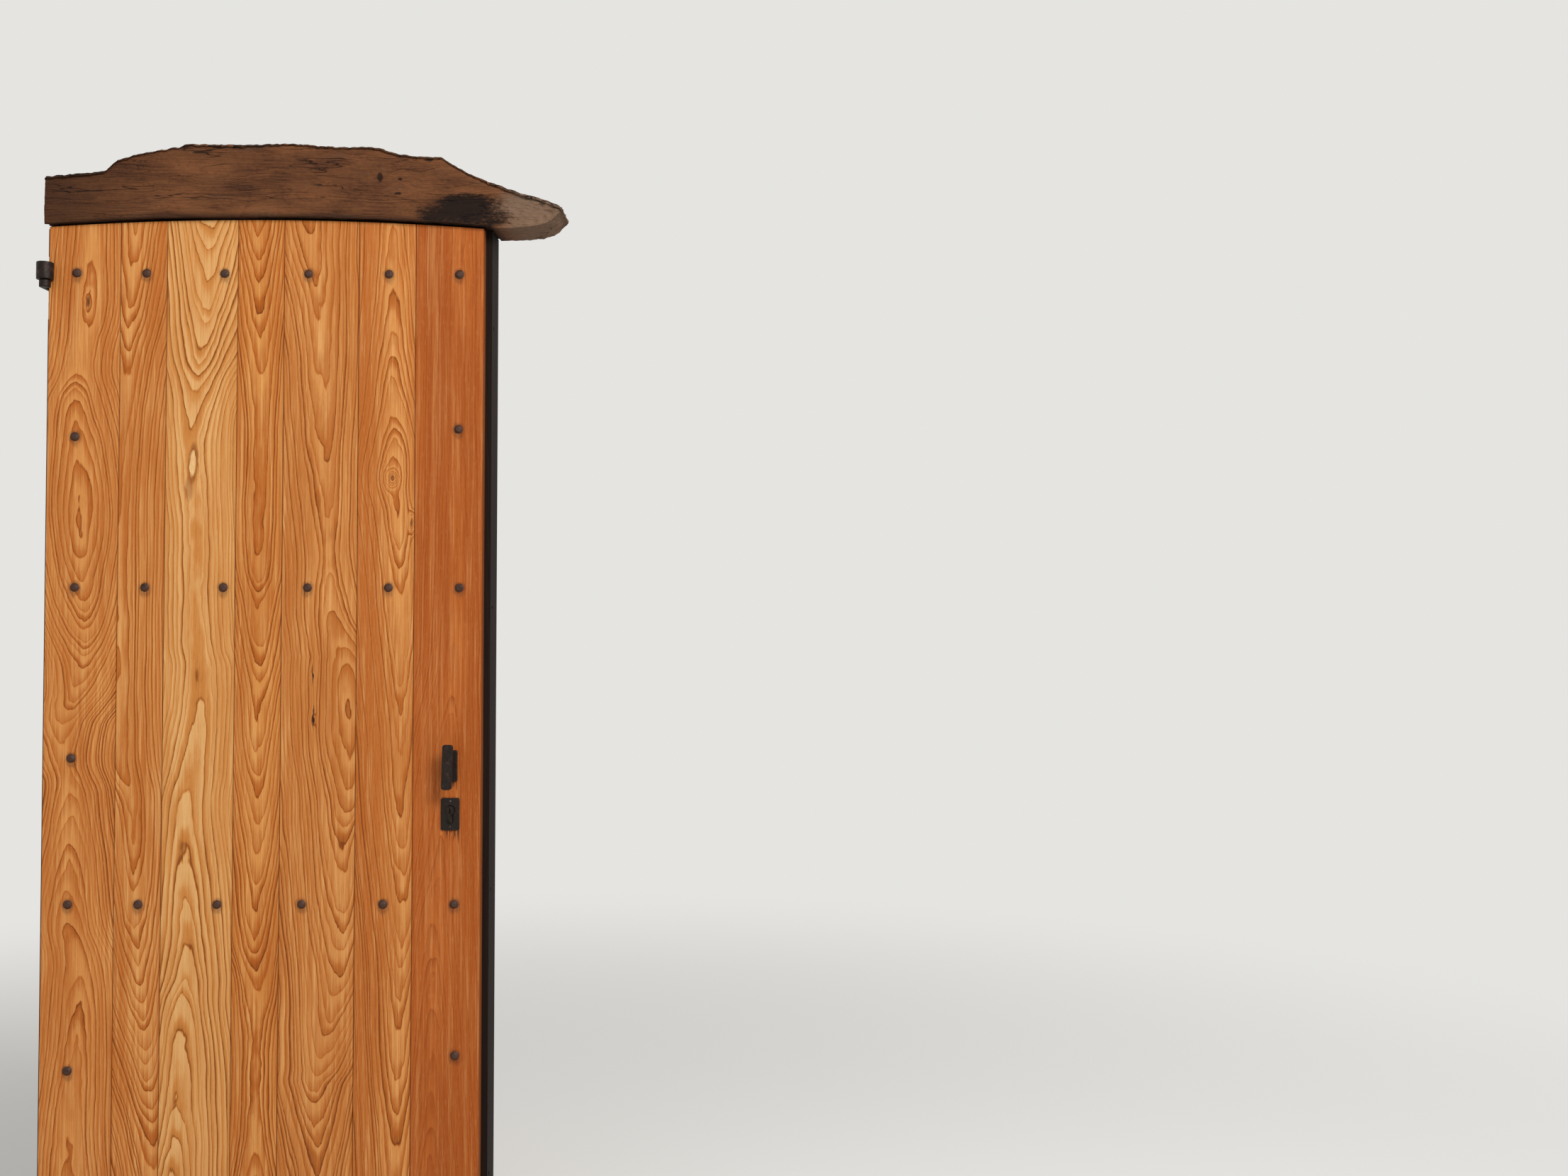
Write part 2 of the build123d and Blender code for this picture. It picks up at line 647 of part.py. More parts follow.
def lock_case():
    """The mortise case, hollow where the bolt slides and the cam turns."""
    x_range, y_range, z_range = case_limits()
    inner = (y_range[0] + CASE_WALL, y_range[1] - CASE_WALL)
    front = x_range[1] + OVERCUT
    half = BOLT_HEIGHT / 2 + BOLT_CLEARANCE
    left = x_range[0] + CASE_WALL
    body = block(x_range, y_range, z_range)
    body -= block((left, front), inner, (BOLT_Z - half, BOLT_Z + half))
    teeth_bottom = BOLT_Z - BOLT_HEIGHT / 2 - TOOTH_DROP - BOLT_CLEARANCE
    body -= block((left, x_range[1] - CASE_WALL), inner, (teeth_bottom, BOLT_Z))
    reach = CAM_RADIUS + CAM_CLEARANCE
    body -= block((LOCK_X - reach, LOCK_X + reach), inner, (LOCK_Z - reach, BOLT_Z))
    body -= at_lock(cylinder_outline(CYLINDER_CLEARANCE), y_range[0] - OVERCUT, y_range[1] + OVERCUT)
    body -= cylinder_screw(SCREW_CLEARANCE)
    return body


def forend_blank(clearance=0.0):
    """The forend before it is pierced, or its recess in the stile where a clearance is given."""
    half_width = FOREND_WIDTH / 2 + clearance
    half_height = FOREND_HEIGHT / 2 + clearance
    y_range = (FRAMING_MIDDLE - half_width, FRAMING_MIDDLE + half_width)
    z_range = (LOCK_Z - half_height, LOCK_Z + half_height)
    return block((LOCK_EDGE - FOREND_THICKNESS, LOCK_EDGE), y_range, z_range)


def forend_screws(clearance=0.0):
    """The two screws that hold the lock in the stile's edge."""
    points = [
        (LOCK_EDGE, FRAMING_MIDDLE, LOCK_Z + offset)
        for offset in (-FOREND_SCREW_OFFSET, FOREND_SCREW_OFFSET)
    ]
    return [screw(point, (-1, 0, 0), FOREND_SCREW, clearance) for point in points]


def lock_forend():
    """The plate on the edge of the leaf that the bolt comes out of."""
    body = forend_blank()
    depth = CASE_THICKNESS / 2 - CASE_WALL
    half = BOLT_HEIGHT / 2 + BOLT_CLEARANCE
    hole_x = (LOCK_EDGE - FOREND_THICKNESS - OVERCUT, LOCK_EDGE + OVERCUT)
    hole_y = (FRAMING_MIDDLE - depth, FRAMING_MIDDLE + depth)
    body -= block(hole_x, hole_y, (BOLT_Z - half, BOLT_Z + half))
    for hole in forend_screws(SCREW_CLEARANCE):
        body -= hole
    body -= cylinder_screw(SCREW_CLEARANCE)
    return body


def cylinder_screw(clearance=0.0):
    """The long screw that holds the cylinder, from the forend into its lobe."""
    point = (LOCK_EDGE, FRAMING_MIDDLE, LOCK_Z - CYLINDER_SCREW_DROP)
    return screw(point, (-1, 0, 0), CYLINDER_SCREW, clearance)


def cylinder_body():
    """The cylinder's fixed body, slotted for the cam and bored for the two plugs."""
    front = FRAMING_MIDDLE - CYLINDER_OUTSIDE
    back = FRAMING_MIDDLE + CYLINDER_INSIDE
    body = at_lock(cylinder_outline(), front, back)
    slot = (FRAMING_MIDDLE - CAM_SLOT / 2, FRAMING_MIDDLE + CAM_SLOT / 2)
    body -= at_lock(Circle(CAM_RADIUS + CAM_CLEARANCE), *slot)
    body -= at_lock(Circle(PLUG_RADIUS + RUNNING_CLEARANCE), front - OVERCUT, back + OVERCUT)
    body -= cylinder_screw(SCREW_CLEARANCE)
    return body


def plug(face, inner_end):
    """A turning plug with its keyway, from a face of the cylinder to the cam."""
    front, back = sorted((face, inner_end))
    body = at_lock(Circle(PLUG_RADIUS), front, back)
    into = math.copysign(KEYWAY_DEPTH, inner_end - face)
    keyway = sorted((face - math.copysign(OVERCUT, into), face + into))
    return body - at_lock(Rectangle(KEYWAY_WIDTH, KEYWAY_HEIGHT), *keyway)


def cam():
    """The cam between the plugs, its finger pointing down at rest."""
    finger = Pos(0, -CAM_RADIUS / 2) * Rectangle(CAM_WIDTH, CAM_RADIUS) & Circle(CAM_RADIUS)
    outline = Circle(CAM_HUB_RADIUS) + finger
    return at_lock(outline, FRAMING_MIDDLE - CAM_THICKNESS / 2, FRAMING_MIDDLE + CAM_THICKNESS / 2)


def deadbolt():
    """The bolt, withdrawn: a square-ended bar with two teeth that the cam drives."""
    depth = CASE_THICKNESS / 2 - CASE_WALL - BOLT_CLEARANCE
    y_range = (FRAMING_MIDDLE - depth, FRAMING_MIDDLE + depth)
    tail = LOCK_X - CASE_BACK + CASE_WALL + BOLT_CLEARANCE
    bottom = BOLT_Z - BOLT_HEIGHT / 2
    body = block((tail, LOCK_EDGE), y_range, (bottom, bottom + BOLT_HEIGHT))
    middle = LOCK_X - BOLT_THROW / 2
    right = middle + TALON_HALF_WIDTH
    left = middle - TALON_HALF_WIDTH
    teeth_z = (bottom - TOOTH_DROP, bottom)
    body += block((right, right + TOOTH_WIDTH), y_range, teeth_z)
    body += block((left - TOOTH_WIDTH, left), y_range, teeth_z)
    return body


def strike_blank(clearance=0.0):
    """The strike before it is pierced, or its recess in the lining where a clearance is given."""
    half_width = FOREND_WIDTH / 2 + clearance
    half_height = STRIKE_HEIGHT / 2 + clearance
    y_range = (FRAMING_MIDDLE - half_width, FRAMING_MIDDLE + half_width)
    x_range = (LOCK_LINING_FACE - clearance, LOCK_LINING_FACE + STRIKE_THICKNESS + clearance)
    return block(x_range, y_range, (BOLT_Z - half_height, BOLT_Z + half_height))


def strike_spikes(clearance=0.0):
    """The two spikes of the strike."""
    points = [
        (LOCK_LINING_FACE, FRAMING_MIDDLE, BOLT_Z + offset)
        for offset in (-STRIKE_SPIKE_OFFSET, STRIKE_SPIKE_OFFSET)
    ]
    return [spike(point, (1, 0, 0), STRIKE_SPIKE, clearance) for point in points]


def strike_plate():
    """The plate that the bolt is thrown through."""
    back = LOCK_LINING_FACE + STRIKE_THICKNESS
    body = strike_blank() - bolt_hole(LOCK_LINING_FACE - OVERCUT, back + OVERCUT)
    for hole in strike_spikes(JOINT_CLEARANCE):
        body -= hole
    return body


# Pull and escutcheon
def pull_parts():
    """Plate, stem and bar of the outer pull, about the stem on the face of the leaf."""
    base = plate(clipped_rectangle(PULL_PLATE_SIZE, PLATE_CORNER), -PULL_PLATE_THICKNESS, 0)
    base -= plate(spindle_hole(), -PULL_PLATE_THICKNESS - OVERCUT, OVERCUT)
    bar_back = -PULL_REACH + PULL_BAR_THICKNESS
    stem = plate(RegularPolygon(PULL_STEM_RADIUS, 8, rotation=22.5), bar_back, -PULL_PLATE_THICKNESS)
    stem -= plate(spindle_hole(), bar_back + PULL_PLATE_THICKNESS, 0)
    bar = plate(RectangleRounded(*PULL_BAR_SIZE, BAR_CORNER), -PULL_REACH, bar_back)
    return base, stem, Rot(0, PULL_BAR_LEAN, 0) * bar


def on_outside(piece, height):
    """Place a fitting on the outer face of the leaf."""
    return Pos(LOCK_X, 0, height) * piece


def on_inside(piece, height):
    """Place the same fitting, turned about, on the inner face of the leaf."""
    return Pos(LOCK_X, FRAMING_BACK, height) * Rot(0, 0, 180) * piece


def pull_spindle():
    """The square bar through the leaf that joins the two pulls."""
    front = -(PULL_REACH - PULL_BAR_THICKNESS - PULL_PLATE_THICKNESS - OVERCUT)
    return at_pull(Rectangle(SPINDLE, SPINDLE), front, FRAMING_BACK - front)


def escutcheon():
    """The lock's cover plate, about its own centre on the face of the leaf."""
    outline = clipped_rectangle(ESCUTCHEON_SIZE, PLATE_CORNER)
    outline -= Pos(0, ESCUTCHEON_DROP) * cylinder_outline(CYLINDER_CLEARANCE)
    return plate(outline, -ESCUTCHEON_THICKNESS, 0)


def cover_pins(clearance=0.0):
    """The four pins of the two escutcheons, or the holes for their shanks."""
    head_radius, rise, shank_radius, length = COVER_PIN
    middle = LOCK_Z - ESCUTCHEON_DROP
    if clearance:
        pin = faceted_rod(4, shank_radius + clearance, -length - clearance, OVERCUT)
    else:
        pin = faceted_rod(4, shank_radius, -length, 0) + faceted_cone(8, head_radius, head_radius / 2, rise)
    pin = Plane(origin=(0, -ESCUTCHEON_THICKNESS, 0), z_dir=(0, -1, 0)) * pin
    heights = (middle - COVER_PIN_OFFSET, middle + COVER_PIN_OFFSET)
    return [place(pin, height) for height in heights for place in (on_outside, on_inside)]


# Assembly
def frame_pieces():
    """Everything that stays on the wall."""
    hinge_face = HINGE_LINING_FACE
    lock_face = LOCK_LINING_FACE
    hinge_heights = (NAIL_ROWS[0], NAIL_ROWS[-1])
    return {
        "lintel": lintel(),
        "lintel_pegs": lintel_pegs(),
        "lining_hinge": hinge_lining(),
        "lining_lock": lock_lining(),
        "stop_hinge": side_stop(hinge_face, hinge_face + STOP_WIDTH),
        "stop_lock": side_stop(lock_face - STOP_WIDTH, lock_face),
        "head": head(),
        "head_stop": head_stop(),
        "pintle_top": pintle(NAIL_ROWS[0]),
        "pintle_bottom": pintle(NAIL_ROWS[-1]),
        "pintle_spikes": [each for height in hinge_heights for each in pintle_spikes(height)],
        "strike_plate": strike_plate(),
        "strike_spikes": strike_spikes(),
    }


def leaf_pieces():
    """Everything that swings, apart from what the key moves."""
    pieces = {f"board_{index + 1}": board(index) for index in range(len(BOARD_WIDTHS))}
    pieces["stile_hinge"] = stile(LAP, LAP + STILE_HINGE_WIDTH)
    pieces["stile_lock"] = lock_stile()
    for name, level in zip(("top", "upper", "lower", "bottom"), rail_levels()):
        pieces[f"rail_{name}"] = rail(level)
    pieces["framing_pegs"] = framing_pegs()
    pieces["strap_top"] = strap(NAIL_ROWS[0])
    pieces["strap_bottom"] = strap(NAIL_ROWS[-1])
    pieces["nails"] = [nail(point) for point in nail_points()]
    return pieces


def fitting_pieces():
    """The pulls, cover plates and fixed lock pieces on the leaf."""
    pieces = {}
    for part, piece in zip(("plate", "stem", "bar"), pull_parts()):
        pieces[f"pull_{part}_outer"] = on_outside(piece, PULL_Z)
        pieces[f"pull_{part}_inner"] = on_inside(piece, PULL_Z)
    pieces["pull_spindle"] = pull_spindle()
    centre = LOCK_Z - ESCUTCHEON_DROP
    outer = on_outside(escutcheon(), centre)
    inner = on_inside(escutcheon(), centre)
    for hole in cover_pins(JOINT_CLEARANCE):
        outer -= hole
        inner -= hole
    pieces["escutcheon_outer"] = outer
    pieces["escutcheon_inner"] = inner
    pieces["cover_pins"] = cover_pins()
    pieces["lock_case"] = lock_case()
    pieces["lock_forend"] = lock_forend()
    pieces["forend_screws"] = forend_screws()
    pieces["cylinder_body"] = cylinder_body()
    pieces["cylinder_screw"] = cylinder_screw()
    return pieces


def key_pieces():
    """What the key moves: the plugs with their cam, and the bolt."""
    gap = (CAM_SLOT - CAM_THICKNESS) / 2
    near = FRAMING_MIDDLE - CAM_SLOT / 2 + gap
    far = FRAMING_MIDDLE + CAM_SLOT / 2 - gap
    return {
        "plug_outer": plug(FRAMING_MIDDLE - CYLINDER_OUTSIDE, near),
        "plug_inner": plug(FRAMING_MIDDLE + CYLINDER_INSIDE, far),
        "cam": cam(),
        "deadbolt": deadbolt(),
    }


def origin_shift():
    """Moves the model so that its origin is under the middle of everything."""
    left = -EYE_RADIUS
    right = LINTEL_STATIONS[-1][0]
    front = -PULL_REACH
    back = max(LINTEL_DEPTH - LINTEL_PROUD, FRAMING_BACK + PULL_REACH)
    return Pos(-(left + right) / 2, -(front + back) / 2, 0)


def main():
    os.makedirs("parts", exist_ok=True)
    shift = origin_shift()
    pieces = {**frame_pieces(), **leaf_pieces(), **fitting_pieces(), **key_pieces()}
    for name, piece in pieces.items():
        solids = piece if isinstance(piece, list) else [piece]
        placed = Compound(children=[Part(shift * solid).solid() for solid in solids])
        export_step(placed, f"parts/{name}.step")


main()
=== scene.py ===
"""Arched plank door in its frame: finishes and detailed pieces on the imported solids.

Lengths in the row frame are metres. Places on the leaf are millimetres from its hinge edge,
its board face and the floor, as a joiner would measure them.
"""
import array
import json
import math

import bmesh
import bpy
from bpy.props import FloatProperty, FloatVectorProperty, IntProperty, PointerProperty
from mathutils import Matrix, Vector, noise


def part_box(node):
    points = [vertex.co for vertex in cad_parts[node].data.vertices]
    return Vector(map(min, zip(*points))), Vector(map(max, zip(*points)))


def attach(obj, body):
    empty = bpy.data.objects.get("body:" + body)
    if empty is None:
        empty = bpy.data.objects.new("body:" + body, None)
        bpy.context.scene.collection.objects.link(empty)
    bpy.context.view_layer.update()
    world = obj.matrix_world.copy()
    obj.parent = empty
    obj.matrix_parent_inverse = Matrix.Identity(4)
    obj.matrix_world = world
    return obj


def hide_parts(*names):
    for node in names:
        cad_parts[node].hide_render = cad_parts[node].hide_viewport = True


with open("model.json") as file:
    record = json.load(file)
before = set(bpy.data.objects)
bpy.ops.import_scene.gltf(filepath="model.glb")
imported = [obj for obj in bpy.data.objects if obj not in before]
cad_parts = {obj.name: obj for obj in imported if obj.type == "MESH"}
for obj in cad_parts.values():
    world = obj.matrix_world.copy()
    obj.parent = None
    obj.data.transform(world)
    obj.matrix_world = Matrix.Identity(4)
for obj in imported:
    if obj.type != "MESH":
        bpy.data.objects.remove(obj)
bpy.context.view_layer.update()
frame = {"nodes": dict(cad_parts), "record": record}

bl_info = {
    "name": "Arched plank door",
    "version": (1, 0, 0),
    "blender": (4, 5, 0),
    "location": "3D View > Sidebar > Door",
    "description": "Wood, iron and old timber for a nailed plank door with a shallow arched head",
    "category": "Object",
}

NODES = frame["nodes"]
BODIES = frame["record"]["behaviour"]["bodies"]
BODY_OF = {node: body for body, nodes in BODIES.items() for node in nodes}
MM = 0.001
HINGE_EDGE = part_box("board_1")[0].x
BOARD_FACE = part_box("board_1")[0].y
LEAF_WIDTH = 825.0
# The arch under the lintel: its crown over the floor, and twice its radius.
ARC_CROWN = 2041.0
ARC_SPREAD = 11358.0


def srgb(red, green, blue):
    """Linear colour of three screen values from 0 to 255."""
    linear = []
    for value in (red, green, blue):
        value /= 255.0
        linear.append(value / 12.92 if value <= 0.04045 else ((value + 0.055) / 1.055) ** 2.4)
    return tuple(linear)


def blend(first, second, share):
    """A colour between two, worked out once for a whole board."""
    return tuple(low + (high - low) * share for low, high in zip(first, second))


def on_leaf(x, y, z):
    """A place on the leaf, in millimetres, as a point of the row frame."""
    return Vector((HINGE_EDGE + x * MM, BOARD_FACE + y * MM, z * MM))


def along(points, at):
    """Height of a line through given points at one place."""
    if at <= points[0][0]:
        return points[0][1]
    for (left, low), (right, high) in zip(points, points[1:]):
        if at <= right:
            return low + (high - low) * (at - left) / (right - left)
    return points[-1][1]


# Nodes
class Value:
    """A socket that takes Python's operators."""

    def __init__(self, maker, socket):
        self.maker = maker
        self.socket = socket

    def __add__(self, other):
        return self.maker.math("ADD", self, other)

    def __sub__(self, other):
        return self.maker.math("SUBTRACT", self, other)

    def __rsub__(self, other):
        return self.maker.math("SUBTRACT", other, self)

    def __mul__(self, other):
        return self.maker.math("MULTIPLY", self, other)

    def __truediv__(self, other):
        return self.maker.math("DIVIDE", self, other)

    def __rtruediv__(self, other):
        return self.maker.math("DIVIDE", other, self)

    __radd__ = __add__
    __rmul__ = __mul__


class Nodes:
    """Makes the nodes of one tree, all by the same method."""

    def __init__(self, tree):
        self.tree = tree
        self.tree.nodes.clear()

    @staticmethod
    def find(sockets, key):
        """A socket by its number, its identifier or its name."""
        if isinstance(key, int):
            return sockets[key]
        for socket in sockets:
            if socket.identifier == key:
                return socket
        return sockets[key]

    @staticmethod
    def set_points(mapping, points):
        """Lays the given points of a line on a curve node."""
        curve = mapping.curves[0]
        for place, height in points[1:-1]:
            curve.points.new(place, height)
        for point, (place, height) in zip(curve.points, points):
            point.location = (place, height)
            point.handle_type = "AUTO_CLAMPED"
        mapping.update()

    def add(self, kind, settings=None, sockets=None, output=0):
        """A node of one type, with its settings, then its sockets; gives one output or several.

        A socket takes a number, a colour, a Value, or a list of Values where it joins several.
        """
        node = self.tree.nodes.new(kind)
        for name, value in (settings or {}).items():
            if name == "points":
                self.set_points(node.mapping, value)
            else:
                setattr(node, name, value)
        for key, given in (sockets or {}).items():
            target = self.find(node.inputs, key)
            for value in given if isinstance(given, list) else [given]:
                if isinstance(value, Value):
                    self.tree.links.new(value.socket, target)
                else:
                    target.default_value = value
        if isinstance(output, tuple):
            return tuple(Value(self, self.find(node.outputs, key)) for key in output)
        return Value(self, self.find(node.outputs, output))

    def math(self, operation, *values):
        return self.add("ShaderNodeMath", {"operation": operation}, dict(enumerate(values)))

    def length(self, first, second):
        """Length of a line from its two parts at right angles."""
        return self.math("SQRT", first * first + second * second)


class Shader(Nodes):
    """Makes one material."""

    def __init__(self, name):
        self.material = bpy.data.materials.new(name)
        self.material.use_nodes = True
        super().__init__(self.material.node_tree)
        self.place = self.add("ShaderNodeTexCoord", output="Object")

    def xyz(self):
        return self.add("ShaderNodeSeparateXYZ", {}, {"Vector": self.place}, ("X", "Y", "Z"))

    def leaf_xyz(self):
        """Millimetres from the hinge edge, from the board face and from the floor."""
        x, y, z = self.xyz()
        return (x - HINGE_EDGE) / MM, (y - BOARD_FACE) / MM, z / MM

    def noise(self, size, detail, offset, roughness=0.5):
        """Noise around zero with cells of a size in millimetres along each axis."""
        scale = tuple(1.0 / (length * MM) for length in size)
        shift = (offset, offset * 1.7 + 3.1, offset * 0.6 - 5.3)
        spot = self.add(
            "ShaderNodeVectorMath",
            {"operation": "MULTIPLY_ADD"},
            {0: self.place, 1: scale, 2: shift},
        )
        sockets = {"Vector": spot, "Scale": 1.0, "Detail": detail, "Roughness": roughness}
        return self.add("ShaderNodeTexNoise", {}, sockets) - 0.5

    def step(self, value, low, high, start=0.0, end=1.0):
        """A smooth step of a value between two limits."""
        return self.add(
            "ShaderNodeMapRange",
            {"interpolation_type": "SMOOTHSTEP"},
            {"Value": value, "From Min": low, "From Max": high, "To Min": start, "To Max": end},
        )

    def curve(self, value, points, low, high):
        """A line through given points, as a function of a value that runs from 0 to 1."""
        scaled = [(place, (height - low) / (high - low)) for place, height in points]
        drawn = self.add("ShaderNodeFloatCurve", {"points": scaled}, {"Value": value})
        return drawn * (high - low) + low

    def mix(self, factor, first, second):
        """Two colours mixed by a factor."""
        colours = [c if isinstance(c, Value) else (*c, 1.0) for c in (first, second)]
        return self.add(
            "ShaderNodeMix",
            {"data_type": "RGBA", "clamp_factor": True},
            {"Factor_Float": factor, "A_Color": colours[0], "B_Color": colours[1]},
            "Result_Color",
        )

    def bump(self, height, distance):
        return self.add("ShaderNodeBump", {}, {"Height": height, "Distance": distance}, "Normal")

    def finish(self, **sockets):
        """Closes the tree with its surface."""
        named = {key.replace("_", " "): value for key, value in sockets.items()}
        surface = self.add("ShaderNodeBsdfPrincipled", {}, named, "BSDF")
        self.add("ShaderNodeOutputMaterial", {}, {"Surface": surface}, output=())
        return self.material


def oval(x, z, middle_x, middle_z, across, up):
    """Square of the distance from an oval's middle: 1 on its rim, less inside."""
    side = (x - middle_x) / across
    rise = (z - middle_z) / up
    return side * side + rise * rise


# Wood
# The height that a curve node's 1 stands for.
HEIGHT_SPAN = 2100.0
# How far a heart line may leave its board, and the most rings that can be cut away.
HEART_MARGIN = 60.0
RING_LIMIT = 40.0
# The share of a ring that its sharp edge takes up.
RING_EDGE = 0.08
# The step between the noise of one board and the next, and the height of the finest relief.
SEED_STEP = 7.3
BUMP_DEPTH = 0.6 * MM
# The reach within which points belong to one nail head, and the share of its real length that a
# distance below a nail counts for, so that the dark halo round each nail, iron staining with a
# painted shadow of the head, reaches further down.
NAIL_REACH = 20.0
NAIL_DROP = 0.62


class Board:
    """What one board shows, with its places in millimetres.

    Its edges, left and right; the spacing of its rings; the depth of its heart behind the face;
    how far the rings wander; the colours of its pale wood, its deeper wood and its ring lines;
    its heart line, as places across at heights; the rings that have been cut away at heights;
    its knots; the share of red wood at its sides; the strength of its figure; and grown, where
    -1 puts the sharp edge of each ring away from the heart, and 1 towards it.
    """

    def __init__(self, edges, spacing, depth, wander, pale, deep, line, heart, rings, knots=(),
                 side=0.0, figure=1.0, grown=-1.0):
        self.edges = edges
        self.spacing = spacing
        self.depth = depth
        self.wander = wander
        self.pale = srgb(*pale)
        self.deep = srgb(*deep)
        self.line = srgb(*line)
        self.heart = heart
        self.rings = rings
        self.knots = knots
        self.side = side
        self.figure = figure
        self.grown = grown


class Knot:
    """A knot in a board: its place, its ring width, how drawn out, its rings and its dark eye."""

    def __init__(self, x, z, ring, drawn, count, eye, darkness=0.8):
        self.x = x
        self.z = z
        self.ring = ring
        self.drawn = drawn
        self.count = count
        self.eye = eye
        self.darkness = darkness


BOARDS = {
    "board_1": Board(
        (0, 136), 5.6, 38, 5, (203, 137, 73), (172, 94, 35), (130, 62, 16),
        ((0, 62), (276, 59), (538, 72), (619, 71), (725, 51), (866, 55), (947, 54), (1018, 34),
         (1068, 33), (1102, 43), (1157, 65), (1231, 74), (1364, 69), (1484, 65), (1611, 59),
         (1694, 52), (1770, 58), (1880, 75), (2030, 80)),
        ((0, 4.2), (276, 7), (538, 9), (619, 10), (725, 11.4), (827, 13.4), (866, 14.5),
         (947, 16.3), (985, 17), (1018, 16.7), (1068, 15.5), (1121, 13.4), (1157, 12),
         (1193, 10.6), (1231, 8.5), (1275, 6), (1364, 3), (1484, 1), (1611, 2.6), (1694, 4.6),
         (1780, 7.4), (1880, 6.6), (2030, 7.4)),
        (Knot(75, 1880, 5.0, 3.4, 1.2, 3.4),),
    ),
    "board_2": Board(
        (136, 224), 6.2, 24, 4, (204, 141, 78), (170, 92, 32), (136, 68, 16),
        ((0, 218), (244, 215), (314, 213), (436, 202), (548, 191), (750, 176), (918, 167),
         (1047, 141), (1548, 136), (1739, 147), (1867, 155), (1995, 163), (2030, 165)),
        ((0, 28), (200, 26), (314, 23), (436, 19), (596, 14), (750, 10), (918, 8), (1047, 6.5),
         (1548, 6), (1739, 5), (1867, 2), (2030, 0)),
    ),
    "board_3": Board(
        (224, 358), 7.6, 30, 7, (212, 163, 104), (188, 120, 56), (148, 82, 28),
        ((0, 245), (244, 252), (295, 258), (480, 265), (548, 266), (615, 274), (789, 272),
         (898, 269), (1005, 282), (1177, 294), (1231, 285), (1421, 283), (1570, 275), (1644, 274),
         (1707, 280), (1784, 289), (1890, 299), (2030, 305)),
        ((0, 0.4), (244, 3.4), (295, 4.2), (480, 6.2), (548, 7.3), (615, 8.5), (789, 10.4),
         (898, 11.6), (1005, 12.6), (1177, 13.6), (1421, 14.2), (1570, 14), (1644, 13.4),
         (1707, 12.3), (1784, 9.5), (1890, 7), (2030, 4)),
        (Knot(276, 1572, 4.2, 3.0, 2.4, 0.0),), 0.0, 1.0, 1.0,
    ),
    "board_4": Board(
        (358, 446), 5.6, 25, 3, (202, 138, 72), (166, 88, 28), (126, 58, 12),
        ((0, 406), (243, 406), (339, 405), (448, 407), (570, 409), (673, 402), (776, 404),
         (918, 406), (1040, 401), (1177, 405), (1389, 403), (1695, 403), (1916, 398), (2030, 397)),
        ((0, 17), (120, 20.4), (243, 23.6), (330, 25.4), (448, 25.8), (589, 24), (673, 21.5),
         (776, 19.5), (918, 17), (1040, 14.5), (1134, 13), (1209, 11), (1310, 9), (1389, 6.8),
         (1695, 6), (1887, 3), (2030, 0)),
        (), 0.3,
    ),
    "board_5": Board(
        (446, 588), 6.8, 31, 7, (198, 135, 74), (168, 94, 36), (128, 62, 16),
        ((0, 512), (249, 518), (396, 517), (428, 526), (500, 540), (621, 560), (869, 564),
         (976, 577), (1180, 575), (1229, 563), (1314, 540), (1450, 530), (1676, 521), (1868, 513),
         (1996, 496), (2030, 494)),
        ((0, 27), (249, 23), (313, 21.5), (396, 19.2), (428, 18), (621, 13), (700, 11), (869, 8),
         (976, 5), (1080, 3.5), (1180, 4), (1212, 5), (1314, 7), (1400, 8), (1500, 7.5),
         (1676, 6), (1868, 4), (2030, 2)),
        (Knot(507, 1170, 2.4, 2.4, 2.0, 2.0, 0.7), Knot(508, 1086, 2.6, 2.2, 2.4, 3.4, 1.0)),
    ),
    "board_6": Board(
        (588, 696), 5.8, 23, 4, (200, 136, 74), (166, 90, 32), (132, 66, 16),
        ((0, 668), (274, 669), (402, 671), (595, 676), (711, 679), (788, 678), (1112, 673),
         (1358, 669), (1480, 662), (1546, 654), (1613, 658), (1696, 656), (1805, 653),
         (2030, 650)),
        ((0, 27), (274, 24), (402, 22), (595, 19.5), (711, 17.2), (788, 16), (918, 14),
         (1112, 12), (1231, 10.5), (1358, 9), (1480, 7.5), (1546, 7), (1613, 8), (1645, 9),
         (1721, 11), (1805, 12.5), (2030, 15)),
        (Knot(654, 1546, 3.3, 1.5, 5.0, 4.0, 0.6), Knot(691, 1460, 2.6, 3.0, 4.0, 2.4, 0.7)), 0.7,
    ),
    "board_7": Board(
        (696, 825), 5.2, 22, 4, (170, 91, 36), (144, 68, 21), (112, 48, 14),
        ((0, 731), (274, 733), (466, 735), (704, 737), (801, 746), (1047, 761), (1231, 774),
         (1933, 776), (2030, 776)),
        ((0, 0), (274, 3), (466, 6), (704, 9.5), (801, 11), (1047, 15), (1231, 18), (2030, 20)),
        (), 0.3, 0.5,
    ),
}


def nail_places():
    """Centres of the nail heads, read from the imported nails."""
    groups = []
    for vertex in NODES["nails"].data.vertices:
        x = (vertex.co.x - HINGE_EDGE) / MM
        z = vertex.co.z / MM
        for group in groups:
            first_x, first_z = group[0]
            if math.hypot(first_x - x, first_z - z) < NAIL_REACH:
                group.append((x, z))
                break
        else:
            groups.append([(x, z)])
    places = []
    for group in groups:
        xs = [x for x, _ in group]
        zs = [z for _, z in group]
        places.append(((min(xs) + max(xs)) / 2, (min(zs) + max(zs)) / 2))
    return sorted(places)


